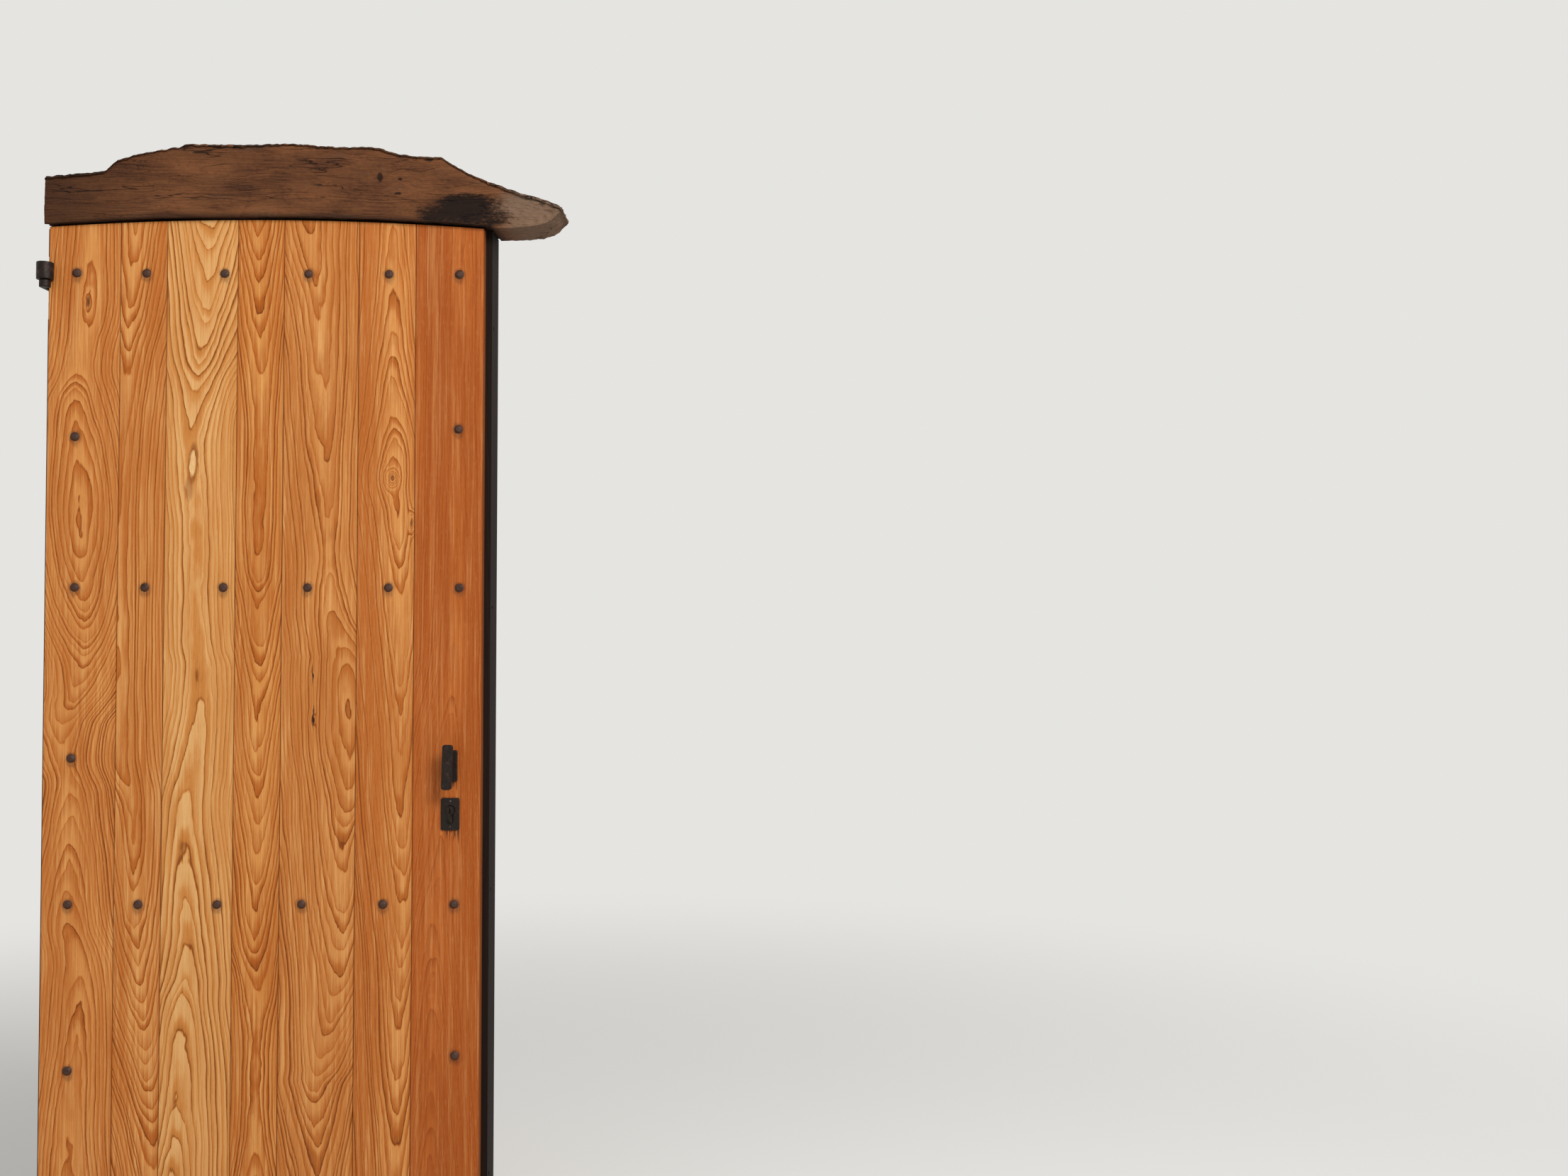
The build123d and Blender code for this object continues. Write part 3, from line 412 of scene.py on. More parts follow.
def knotted(shader, rings, x, z, board):
    """Rings that close round the board's knots, and the dark of the knots' eyes."""
    eyes = None
    for knot in board.knots:
        side = knot.x - along(board.heart, knot.z)
        cut_away = along(board.rings, knot.z)
        start = math.hypot(side, board.depth) / board.spacing + cut_away - knot.count
        reach = shader.length(x - knot.x, (z - knot.z) / knot.drawn)
        swirl = shader.noise((9, 12, 16), 2.0, knot.x) * 1.7
        own = reach / knot.ring + (swirl + start)
        rings = shader.math("SMOOTH_MIN", rings, own, 2.5)
        if knot.eye > 0.0:
            eye = shader.step(reach, knot.eye * 1.3, knot.eye * 0.5) * knot.darkness
            eyes = eye if eyes is None else shader.math("MAXIMUM", eyes, eye)
    return rings, eyes


def ring_shade(shader, rings, slope):
    """Darkness over one ring: a sharp edge, a late line, and a fade into the pale early wood.

    The slope says how steeply the rings meet the face, so that wide rings keep thin lines.
    """
    one_way = {"noise_dimensions": "1D"}
    uneven = shader.add("ShaderNodeTexNoise", one_way, {"W": rings * 0.31, "Scale": 1.0})
    rings = rings + (uneven - 0.5) * 2.4
    part = shader.math("FRACT", rings)
    strength = shader.add("ShaderNodeTexWhiteNoise", one_way, {"W": shader.math("FLOOR", rings)})
    edge = shader.step(part, 0.0, RING_EDGE)
    line = shader.step(part, slope * 0.48 + (RING_EDGE + 0.12), RING_EDGE)
    fade = shader.step(part, 0.9, RING_EDGE)
    return edge * shader.math("MAXIMUM", line * 0.92, fade * 0.6) * (strength * 0.66 + 0.42)


def nail_distance(shader, x, z, places):
    """Distance to the nearest of some nails, with the side below each drawn out."""
    closest = None
    for place_x, place_z in places:
        below = shader.math("MINIMUM", z - place_z, 0.0) * (1.0 - NAIL_DROP)
        distance = shader.length(x - place_x, (z - place_z) - below)
        closest = distance if closest is None else shader.math("MINIMUM", closest, distance)
    return closest


def board_figure(shader, board, x, depth, z, offset):
    """Darkness of a board's rings, how steeply they meet its face, and its knots' eyes."""
    left, right = board.edges
    height = z / HEIGHT_SPAN
    heart_line = [(place / HEIGHT_SPAN, value) for place, value in board.heart]
    ring_line = [(place / HEIGHT_SPAN, value) for place, value in board.rings]
    heart = shader.curve(height, heart_line, left - HEART_MARGIN, right + HEART_MARGIN)
    cut_away = shader.curve(height, ring_line, 0.0, RING_LIMIT)
    bend = shader.noise((64, 90, 300), 1.0, offset) * (board.wander * 2.4)
    side = x - heart + bend
    radius = shader.length(side, depth + board.depth)
    slope = shader.math("ABSOLUTE", side) / radius
    flat = 1.0 - slope
    wave = shader.noise((34, 40, 150), 1.0, offset + 2.0)
    ripple = shader.noise((17, 24, 40), 1.0, offset + 4.0)
    feather = shader.noise((1.4, 2, 50), 2.0, offset + 5.0)
    rings = radius / board.spacing + cut_away + wave * 1.3
    rings = rings + ripple * (flat * 0.75 + 0.13) + feather * (flat * 0.03 + 0.12)
    rings, eyes = knotted(shader, rings, x, z, board)
    clear = shader.noise((26, 30, 210), 2.0, offset + 12.0) * 0.9 + 1.05
    late = ring_shade(shader, rings * board.grown, slope) * clear * board.figure
    return late, slope, eyes


def board_finish(name, board, look, seed):
    """Oiled wood of one board, with the figure that its face shows."""
    shader = Shader(name + "_oiled")
    x, depth, z = shader.leaf_xyz()
    left, right = board.edges
    offset = seed * SEED_STEP
    late, slope, eyes = board_figure(shader, board, x, depth, z, offset)
    patch = shader.noise((42, 60, 330), 3.0, offset + 6.0)
    deeper = shader.step(patch + slope * 0.2, -0.06, 0.32) * 0.6
    pale = shader.mix(deeper, board.pale, board.deep)
    fibre = shader.noise((1.5, 2.5, 60), 3.0, offset + 8.0)
    streak = shader.noise((5, 8, 230), 3.0, offset + 9.0)
    if board.side > 0.0:
        pale = shader.mix(shader.step(slope, 0.76, 0.95) * board.side, pale, look.heart_wood)
    glow = shader.step(streak + fibre * 0.4 - late * 0.4, 0.02, -0.34) * (board.figure * 0.5)
    pale = shader.mix(glow, pale, look.early_wood)
    tone = late + fibre * 0.6 + streak * 0.5
    colour = shader.mix(shader.step(tone, -0.14, 0.5), pale, board.deep)
    line = blend(board.line, look.late_wood, 0.4)
    colour = shader.mix(shader.step(tone, 0.42, 1.0), colour, line)
    pore = shader.step(shader.noise((0.8, 1.4, 11), 2.0, offset + 11.0), 0.06, 0.3)
    colour = shader.mix(pore * (late * 0.4 + 0.4) * 0.55, colour, look.late_wood)
    gleam = shader.step(shader.noise((0.9, 1.5, 18), 2.0, offset + 13.0), 0.06, 0.32)
    colour = shader.mix(gleam * 0.3, colour, look.early_wood)
    if eyes is not None:
        colour = shader.mix(eyes, colour, look.knot)
    # Round each nail a dark halo, drawn out below it: partly iron staining of the wood, partly a
    # painted shadow of the nail's head.
    nails = [place for place in nail_places() if left <= place[0] < right]
    if nails:
        ragged_halo = shader.noise((7, 7, 14), 2.0, 1.0) * 9.0
        near = nail_distance(shader, x, z, nails) + ragged_halo
        colour = shader.mix(shader.step(near, 14.5, 8.0) * look.stain_and_shadow, colour, look.nail_stain_and_shadow)
    if name in MARKS:
        colour = MARKS[name](shader, x, z, colour, look)
    joint = shader.math("MINIMUM", x - left, right - x)
    colour = shader.mix(shader.step(joint, 1.7, 0.1) * 0.6, colour, look.joint)
    return shader.finish(
        Base_Color=colour,
        Roughness=shader.step(tone, -0.2, 1.0, 0.5, 0.42),
        Specular_IOR_Level=0.12,
        Normal=shader.bump(late * -0.25 + fibre * 0.35, BUMP_DEPTH),
    )


# The torn streak and the smudge under it: middle, and reach across and up.
SCAR = (276.0, 1572.0, 7.5, 34.0)
SMUDGE = (269.0, 1524.0, 11.0, 26.0)
# Cracks round the two small knots: middle, half length and width.
SHAKES = ((508.0, 1092.0, 24.0, 1.5), (506.0, 1172.0, 20.0, 1.1))
# Dark runs below the metal: middle, half width, top and length.
RUNS = ((773.0, 9.0, 971.0, 52.0), (773.0, 17.0, 881.0, 40.0))


def scar(shader, x, z, colour, look):
    """The torn pale streak in the third board, with its brown rim."""
    ragged = shader.noise((7, 9, 16), 2.0, 3.0) * 7.0
    lean = (z - SCAR[1]) * 0.07
    spread = shader.math("SQRT", oval(x - lean + ragged, z, *SCAR))
    rim = shader.step(spread, 1.35, 0.95) - shader.step(spread, 0.9, 0.6)
    colour = shader.mix(rim * 0.6, colour, look.scar_rim)
    smudge = shader.step(oval(x + ragged, z, *SMUDGE), 1.1, 0.1)
    colour = shader.mix(smudge * 0.5, colour, look.scar_smudge)
    return shader.mix(shader.step(spread, 0.85, 0.5) * 0.62, colour, look.scar_pale)


def shakes(shader, x, z, colour, look):
    """Short dark cracks round the two small knots of the fifth board."""
    crooked = shader.noise((20, 20, 12), 2.0, 8.0) * 9.0
    for middle_x, middle_z, half, width in SHAKES:
        across = shader.math("ABSOLUTE", x - middle_x + crooked) / width
        up = shader.math("ABSOLUTE", z - middle_z) / half
        crack = shader.step(across + up * up, 1.6, 0.7)
        colour = shader.mix(crack * 0.85, colour, look.crack)
    return colour


def drips(shader, x, z, colour, look):
    """Dark runs below the pull's plate and the escutcheon on the seventh board."""
    fine = shader.noise((3.2, 6, 26), 2.0, 5.0)
    for middle, half, top, length in RUNS:
        inside = shader.step(shader.math("ABSOLUTE", x - middle), half, half * 0.6)
        fall = shader.step(z, top - length, top - 2.0) * shader.step(z, top + 3.0, top)
        run = shader.step(fine + fall * 0.2, 0.12, 0.24) * inside * fall
        colour = shader.mix(run * 0.85, colour, look.nail_stain_and_shadow)
    return colour


MARKS = {"board_3": scar, "board_5": shakes, "board_7": drips}

# Planed wood, by the axis of its grain: cells of its warp and of its fibres, and which axes
# its rings cross, the main one first.
PLANED = {
    "x": ((420, 38, 30), (70, 2.2, 1.6), (2, 1)),
    "y": ((30, 420, 30), (1.8, 60, 1.8), (0, 2)),
    "z": ((34, 38, 420), (1.6, 2.2, 70), (0, 1)),
}


def plain_wood(name, lengthwise, pale, line, spacing, seed, rough=0.55, gloss=0.3):
    """Straight-grained planed wood, with its grain along one axis of the piece."""
    shader = Shader(name)
    warp_cells, fibre_cells, (main, second) = PLANED[lengthwise]
    axes = shader.xyz()
    warp = shader.noise(warp_cells, 3.0, seed) * 6.0
    rings = (axes[main] * 0.82 + axes[second] * 0.57) / (spacing * MM) + warp
    late = ring_shade(shader, rings, 0.7)
    fibre = shader.noise(fibre_cells, 3.0, seed + 3.0)
    patch = shader.noise([size * 2.5 for size in warp_cells], 2.0, seed + 5.0)
    tone = late * 0.8 + fibre * 0.6 + patch * 0.5
    colour = shader.mix(shader.step(tone, -0.2, 1.0), pale, line)
    pore = shader.noise([size * 0.5 for size in fibre_cells], 2.0, seed + 7.0)
    colour = shader.mix(shader.step(pore, 0.14, 0.36) * 0.35, colour, line)
    return shader.finish(
        Base_Color=colour,
        Roughness=shader.step(tone, -0.2, 1.0, rough, rough - 0.08),
        Specular_IOR_Level=gloss,
        Normal=shader.bump(late * -0.3 + fibre * 0.5, BUMP_DEPTH),
    )


def paint(nodes, finish):
    """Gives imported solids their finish."""
    for node in nodes:
        for slot in NODES[node].material_slots:
            slot.material = finish


# The timber's swirls: middle, reach across and up, and how far each pushes the grain.
SWIRLS = (
    (306, 2116, 62, 20, 20.0),
    (612, 2122, 34, 20, 22.0),
    (668, 2108, 26, 18, -16.0),
    (716, 2152, 30, 12, 14.0),
    (470, 2080, 70, 14, -10.0),
)
# Its knots and its blackened patch: middle, and reach across and up.
TIMBER_KNOTS = ((629, 2118, 5, 9), (667, 2115, 4, 3), (663, 2087, 7, 2.4), (721, 2152, 8, 3))
SOOT = (790.0, 2052.0, 92.0, 34.0)
# Where the dark left end fades out, where the grey tip starts and is whole, how high the dark
# foot reaches over the arch, and where the wood starts to crumble and how far on it is worst.
DARK_TO = 210.0
TIP = (826.0, 900.0)
DARK_FOOT = 13.0
WORN_FROM = 840.0
WORN_OVER = 110.0


def timber_grain(shader, x, depth, z):
    """Darkness of the timber's rings, which bend round its swirls and fade in places."""
    wave = shader.noise((240, 90, 70), 2.0, 1.0) * 56.0
    height = z + wave + shader.noise((70, 60, 24), 2.0, 4.0) * 15.0
    for middle_x, middle_z, across, up, push in SWIRLS:
        spread = oval(x, z, middle_x, middle_z, across, up)
        height = height + shader.math("EXPONENT", spread * -1.0) * push
    rings = (height * 0.9 + depth * 0.5) / 5.2
    clear = shader.step(shader.noise((120, 60, 40), 2.0, 27.0), -0.16, 0.16)
    return ring_shade(shader, rings, 0.8) * clear


def old_timber_finish(look):
    """Rough dark timber: wavy grain, cracks, knots, a grey end and a blackened patch."""
    shader = Shader("lintel_timber")
    x, depth, z = shader.leaf_xyz()
    late = timber_grain(shader, x, depth, z)
    stringy = shader.noise((80, 3.0, 2.4), 4.0, 6.0, 0.6)
    blotch = shader.noise((105, 60, 40), 3.0, 9.0)
    fleck = shader.noise((9, 5, 4), 3.0, 12.0, 0.65)
    tone = late * 0.42 + stringy + blotch * 1.5 + fleck * 0.7
    # The timber colours hold painted shade besides the wood's own dark brown.
    colour = shader.mix(shader.step(tone, -0.55, 0.5), look.timber_pale, look.timber)
    colour = shader.mix(shader.step(tone, 0.15, 0.85) * 0.85, colour, look.timber_dark)
    worn = shader.noise((120, 70, 22), 3.0, 15.0)
    grey = shader.step(worn + fleck * 0.3, 0.08, 0.34) * 0.34
    tip = shader.step(x + blotch * 90.0 + fleck * 60.0, *TIP) * 0.84
    colour = shader.mix(shader.math("MAXIMUM", grey, tip), colour, look.timber_grey)
    left_end = shader.step(x + blotch * 190.0, DARK_TO, 0.0) * 0.6
    from_middle = x - LEAF_WIDTH / 2
    over_arch = z + from_middle * from_middle / ARC_SPREAD - ARC_CROWN
    foot = shader.step(over_arch + fleck * 9.0, DARK_FOOT, 0.0) * 0.75
    foot = foot * shader.step(x, WORN_FROM + 20.0, WORN_FROM)
    colour = shader.mix(shader.math("MAXIMUM", left_end, foot), colour, look.timber_dark)
    for knot in TIMBER_KNOTS:
        spot = shader.step(oval(x + fleck * 9.0, z + fleck * 6.0, *knot), 1.6, 0.5)
        colour = shader.mix(spot * 0.85, colour, look.timber_soot)
    soot = oval(x, z, *SOOT) + blotch * 2.4 + fleck * 1.5 + stringy * 1.1
    colour = shader.mix(shader.step(soot, 1.3, 0.35) * 0.95, colour, look.timber_soot)
    crack_line = shader.noise((230, 60, 24), 3.0, 18.0)
    crack_place = shader.noise((130, 60, 40), 2.0, 21.0)
    crack = shader.step(shader.math("ABSOLUTE", crack_line), 0.011, 0.002)
    crack = crack * shader.step(crack_place, -0.02, 0.1)
    colour = shader.mix(crack * 0.75, colour, look.timber_soot)
    relief = stringy * 0.9 + fleck * 0.6 + crack * -1.2 + late * -0.3
    return shader.finish(
        Base_Color=colour,
        Roughness=shader.step(tone, -0.4, 0.8, 0.9, 0.76),
        Specular_IOR_Level=0.14,
        Normal=shader.bump(relief, BUMP_DEPTH * 5.0),
    )


# Metal
def iron_finish(name, look, seed, rust):
    """Blackened forged iron: hammer marks, brown bloom and rubbed highlights."""
    shader = Shader(name)
    hammer = shader.noise((5.5, 5.5, 5.5), 2.0, seed)
    pit = shader.noise((1.1, 1.1, 1.1), 3.0, seed + 2.0)
    bloom = shader.noise((16, 16, 16), 3.0, seed + 4.0)
    brown = shader.step(bloom + pit * 0.5, 0.18 - rust * 0.5, 0.4 - rust * 0.3)
    colour = shader.mix(brown * 0.85, look.iron, look.iron_brown)
    rubbed = shader.step(hammer + pit * 0.3, 0.12, 0.36) * 0.35
    colour = shader.mix(rubbed, colour, look.iron_rubbed)
    return shader.finish(
        Base_Color=colour,
        Metallic=shader.step(brown, 0.0, 1.0, 0.72, 0.1),
        Roughness=shader.step(hammer + pit, -0.4, 0.4, 0.6, 0.42),
        Specular_IOR_Level=0.3,
        Normal=shader.bump(hammer * 0.8 + pit * 0.35, 0.9 * MM),
    )


def worn_metal_finish(name, bright, dull, seed, rough=0.4):
    """Turned or rolled metal that has gone dull, with fine scratches and darker blooms."""
    shader = Shader(name)
    scratch = shader.noise((0.5, 9, 9), 2.0, seed)
    bloom = shader.noise((9, 9, 9), 3.0, seed + 2.0)
    speck = shader.noise((0.9, 0.9, 0.9), 2.0, seed + 4.0)
    tarnish = shader.step(bloom + speck * 0.4, -0.18, 0.3)
    scuffed = scratch + tarnish * 0.5
    return shader.finish(
        Base_Color=shader.mix(tarnish, bright, dull),
        Metallic=0.9,
        Roughness=shader.step(scuffed, -0.3, 0.8, rough - 0.08, rough + 0.18),
        Normal=shader.bump(scratch * 0.5 + speck * 0.3, 0.25 * MM),
    )


# Meshes
# Points nearer than this are one, and a hammer's dent measures one over the scale, in metres.
MERGE_WITHIN = 0.01 * MM
HAMMER_SCALE = 130.0


def new_object(name, mesh, material):
    """Puts a finished mesh into the scene with its place in its vertices."""
    mesh.materials.clear()
    mesh.materials.append(material)
    piece = bpy.data.objects.new(name, mesh)
    bpy.context.scene.collection.objects.link(piece)
    return piece


def settle(piece, node):
    """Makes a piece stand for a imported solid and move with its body."""
    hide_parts(node)
    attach(piece, BODY_OF[node])


def made_plain(piece):
    """Turns a piece and its modifiers into a plain mesh."""
    graph = bpy.context.evaluated_depsgraph_get()
    mesh = bpy.data.meshes.new_from_object(piece.evaluated_get(graph))
    piece.modifiers.clear()
    old = piece.data
    piece.data = mesh
    bpy.data.meshes.remove(old)
    return piece


def wrought(node, material, grain, dent):
    """Forges a packed iron solid anew, with eased arrises and faces uneven from the hammer.

    The grain of the mesh and the depth of the dents are in millimetres.
    """
    mesh = NODES[node].data.copy()
    shell = bmesh.new()
    shell.from_mesh(mesh)
    bmesh.ops.remove_doubles(shell, verts=shell.verts, dist=MERGE_WITHIN)
    shell.to_mesh(mesh)
    shell.free()
    piece = new_object(f"{node}_forged", mesh, material)
    voxels = piece.modifiers.new("forge", "REMESH")
    voxels.mode = "VOXEL"
    voxels.voxel_size = grain * MM
    voxels.use_smooth_shade = True
    easing = piece.modifiers.new("ease", "SMOOTH")
    easing.factor = 0.5
    easing.iterations = 4
    made_plain(piece)
    count = len(piece.data.vertices)
    places = array.array("f", bytes(12 * count))
    facings = array.array("f", bytes(12 * count))
    piece.data.vertices.foreach_get("co", places)
    piece.data.vertex_normals.foreach_get("vector", facings)
    sink = dent * MM
    for index in range(0, 3 * count, 3):
        spot = Vector(places[index:index + 3]) * HAMMER_SCALE
        depth = 0.5 + 0.5 * noise.noise(spot) + 0.25 * noise.noise(spot * 2.7)
        for axis in range(index, index + 3):
            places[axis] -= facings[axis] * sink * max(depth, 0.0)
    piece.data.vertices.foreach_set("co", places)
    piece.data.update()
    settle(piece, node)


# Lintel
# Its top edge, the underside of its free end, its ends and its front and back.
LINTEL_TOP = (
    (-5, 2121), (40, 2126), (91, 2130), (109, 2133), (118, 2143), (127, 2152), (162, 2163),
    (209, 2172), (252, 2180), (258, 2184), (298, 2184), (377, 2184), (447, 2186), (485, 2185),
    (543, 2180), (616, 2181), (636, 2176), (655, 2169), (694, 2163), (744, 2162), (755, 2154),
    (794, 2131), (833, 2115), (864, 2104), (891, 2094), (926, 2085), (953, 2076), (968, 2068),
    (974, 2064),
)
LINTEL_FOOT = (
    (841, 2021), (872, 2021), (891, 2022), (910, 2024), (928, 2027), (945, 2032), (958, 2041),
    (968, 2052), (974, 2058),
)
LINTEL_ENDS = (-5.0, 974.0)
LINTEL_DEPTHS = (-13.6, 97.0)
SEAT_END = 841.0
# Points round the timber on its front, top, back and underside.
LINTEL_STEPS = (52, 26, 20, 26)
# How far its arrises are eased: front foot, front top, back top and back foot.
LINTEL_EASED = (2.5, 13.0, 6.0, 2.0)
END_RINGS = (0.94, 0.8, 0.6, 0.4, 0.2)


def lintel_foot(x):
    """Height of the timber's underside: the arch that sits on the frame, then the free end."""
    if x <= SEAT_END:
        return ARC_CROWN - (x - LEAF_WIDTH / 2) ** 2 / ARC_SPREAD
    return along(LINTEL_FOOT, x)


def lintel_ring(x):
    """Points and outward directions round the timber at one place along it."""
    front, back = LINTEL_DEPTHS
    front_foot, front_top, back_top, back_foot = LINTEL_EASED
    ragged = 3.0 * max(0.0, noise.noise(Vector((x / 12.0, 1.0, 0.0))) + 0.2)
    ragged += 1.6 * abs(noise.noise(Vector((x / 5.0, 7.0, 0.0))))
    low = lintel_foot(x)
    high = along(LINTEL_TOP, x) - ragged
    worn = min(front_top, (high - low) * 0.4)
    batter = 2.2 * noise.noise(Vector((x * 0.012, 3.0, 0.0))) + 1.2
    corners = (
        (front, low, front_foot),
        (front + batter, high, worn),
        (back, high, min(back_top, worn)),
        (back, low, back_foot),
    )
    ring = []
    for here, there, count in zip(corners, corners[1:] + corners[:1], LINTEL_STEPS):
        dy = there[0] - here[0]
        dz = there[1] - here[1]
        length = max(math.hypot(dy, dz), 0.001)
        outward = (-dz / length, dy / length)
        for step in range(count):
            t = step / count
            from_here = t * length / max(here[2], 0.1)
            to_there = (1.0 - t) * length / max(there[2], 0.1)
            flat = min(from_here, to_there, 1.0)
            radius = here[2] if t < 0.5 else there[2]
            eased = radius * 0.42 * (1.0 - flat) ** 2
            ring.append((here[0] + dy * t, here[1] + dz * t, outward, eased))
    return ring


def timber_relief(x, y, z):
    """How deep the weathered face lies below the sawn line, in millimetres."""
    wave = 30.0 * noise.noise(Vector((x / 240.0, y / 90.0, z / 80.0)))
    broad = noise.noise(Vector((x / 150.0, y / 45.0, (z + wave) / 36.0)))
    strings = noise.noise(Vector((x / 60.0, y / 7.0, (z + wave) / 6.5 + 40.0)))
    fine = noise.noise(Vector((x / 24.0, y / 3.2, (z + wave) / 3.4 + 90.0)))
    split = abs(noise.noise(Vector((x / 190.0, y / 60.0, (z + wave) / 19.0 + 17.0))))
    groove = max(0.0, 1.0 - split / 0.03)
    depth = 1.8 + 2.1 * broad + 1.1 * strings + 0.6 * fine + 2.1 * groove
    eaten = max(0.0, (x - WORN_FROM) / WORN_OVER)
    crumbled = noise.noise(Vector((x / 15.0, y / 13.0, z / 9.0)))
    crumbled += 0.6 * noise.noise(Vector((x / 7.0, y / 6.0, z / 5.0)))
    depth += 4.0 * eaten * (0.4 + crumbled)
    return max(depth, 0.0)


def hewn_timber(name, pitch):
    """The lintel's mesh: rings of points along its length, each sunk by the relief."""
    shape = bmesh.new()
    first, last = LINTEL_ENDS
    stations = int((last - first) / pitch)
    rings = []
    for index in range(stations + 1):
        x = first + (last - first) * index / stations
        ring = []
        for y, z, outward, eased in lintel_ring(x):
            sunk = eased + timber_relief(x, y, z)
            ring.append(shape.verts.new(on_leaf(x, y - outward[0] * sunk, z - outward[1] * sunk)))
        rings.append(ring)
    for ring, following in zip(rings, rings[1:]):
        for index, after in pairs_round(ring):
            shape.faces.new((ring[index], following[index], following[after], ring[after]))
    close_end(shape, rings[0], 1.0)
    close_end(shape, rings[-1], -1.0)
    bmesh.ops.recalc_face_normals(shape, faces=shape.faces)
    for face in shape.faces:
        face.smooth = True
    mesh = bpy.data.meshes.new(name)
    shape.to_mesh(mesh)
    shape.free()
    return mesh


def pairs_round(ring):
    """Each point's number with the next one's, round a closed ring."""
    return [(index, (index + 1) % len(ring)) for index in range(len(ring))]


def close_end(shape, ring, inward):
    """Closes an end of the timber with shrinking rings and a middle point."""
    middle = sum((vertex.co for vertex in ring), Vector()) / len(ring)
    outer = ring
    for share in END_RINGS:
        inner = []
        for vertex in ring:
            place = middle + (vertex.co - middle) * share
            rough = noise.noise(place * 90.0) * 0.5 + 0.5
            place.x += inward * rough * 1.6 * MM * (1.0 - share)
            inner.append(shape.verts.new(place))
        for index, after in pairs_round(ring):
            shape.faces.new((outer[index], outer[after], inner[after], inner[index]))
        outer = inner
    centre = shape.verts.new(middle)
    for index, after in pairs_round(ring):
        shape.faces.new((outer[index], outer[after], centre))


# Fasteners
FASTENER_INPUTS = {
    "Geometry": "NodeSocketGeometry",
    "Head Radius": "NodeSocketFloat",
    "Crown Radius": "NodeSocketFloat",
    "Head Height": "NodeSocketFloat",
    "Shank Radius": "NodeSocketFloat",
    "Shank Length": "NodeSocketFloat",
    "Facets": "NodeSocketInt",
    "Unevenness": "NodeSocketFloat",
    "Seed": "NodeSocketInt",
    "Material": "NodeSocketMaterial",
}
PIN_HEIGHT = 1.2 * MM
# The way that the boards face.
OUTWARD = Vector((0.0, -1.0, 0.0))


def fastener_tree():
    """Heads with shanks at every point, each facing as its point says and a little different."""
    tree = bpy.data.node_groups.new("forged_fasteners", "GeometryNodeTree")
    for label, kind in FASTENER_INPUTS.items():
        tree.interface.new_socket(label, in_out="INPUT", socket_type=kind)
    tree.interface.new_socket("Geometry", in_out="OUTPUT", socket_type="NodeSocketGeometry")
    maker = Nodes(tree)
    labels = tuple(FASTENER_INPUTS)
    entry = dict(zip(labels, maker.add("NodeGroupInput", output=labels)))
    cone = maker.add(
        "GeometryNodeMeshCone", {"fill_type": "NGON"},
        {"Vertices": entry["Facets"], "Side Segments": 3, "Radius Top": entry["Crown Radius"],
         "Radius Bottom": entry["Head Radius"], "Depth": entry["Head Height"]},
        "Mesh",
    )
    rounded = maker.add(
        "GeometryNodeSubdivisionSurface", {}, {"Mesh": cone, "Level": 2, "Edge Crease": 0.3},
    )
    shank = maker.add(
        "GeometryNodeMeshCylinder", {"fill_type": "NGON"},
        {"Vertices": 6, "Radius": entry["Shank Radius"], "Depth": entry["Shank Length"]},
        "Mesh",
    )
    sink = maker.add("ShaderNodeCombineXYZ", {}, {"Z": entry["Shank Length"] * -0.5})
    sunk = maker.add("GeometryNodeTransform", {}, {"Geometry": shank, "Translation": sink})
    joined = maker.add("GeometryNodeJoinGeometry", {}, {"Geometry": [rounded, sunk]})
    vectors = {"data_type": "FLOAT_VECTOR"}
    facing = maker.add("GeometryNodeInputNamedAttribute", vectors, {"Name": "facing"}, "Attribute")
    turned = maker.add("FunctionNodeAlignRotationToVector", {"axis": "Z"}, {"Vector": facing})
    spin = maker.add(
        "FunctionNodeRandomValue", vectors,
        {"Min": (-0.07, -0.07, 0.0), "Max": (0.07, 0.07, 6.283), "Seed": entry["Seed"]},
        "Value",
    )
    as_turn = maker.add("FunctionNodeEulerToRotation", {}, {"Euler": spin})
    rotation = maker.add(
        "FunctionNodeRotateRotation", {"rotation_space": "LOCAL"},
        {"Rotation": turned, "Rotate By": as_turn},
    )
    size = maker.add(
        "FunctionNodeRandomValue", vectors,
        {"Min": (0.9, 0.9, 0.86), "Max": (1.0, 1.0, 1.0), "Seed": entry["Seed"]},
        "Value",
    )
    placed = maker.add(
        "GeometryNodeInstanceOnPoints", {},
        {"Points": entry["Geometry"], "Instance": joined, "Rotation": rotation, "Scale": size},
    )
    real = maker.add("GeometryNodeRealizeInstances", {}, {"Geometry": placed})
    dent = maker.add("ShaderNodeTexNoise", {}, {"Scale": 260.0, "Detail": 1.0}, "Color")
    centred = maker.add(
        "ShaderNodeVectorMath", {"operation": "SUBTRACT"}, {0: dent, 1: (0.5, 0.5, 0.5)},
    )
    shift = maker.add(
        "ShaderNodeVectorMath", {"operation": "SCALE"}, {0: centred, "Scale": entry["Unevenness"]},
    )
    uneven = maker.add("GeometryNodeSetPosition", {}, {"Geometry": real, "Offset": shift})
    painted = maker.add(
        "GeometryNodeSetMaterial", {}, {"Geometry": uneven, "Material": entry["Material"]},
    )
    maker.add("NodeGroupOutput", {}, {"Geometry": painted}, output=())
    return tree


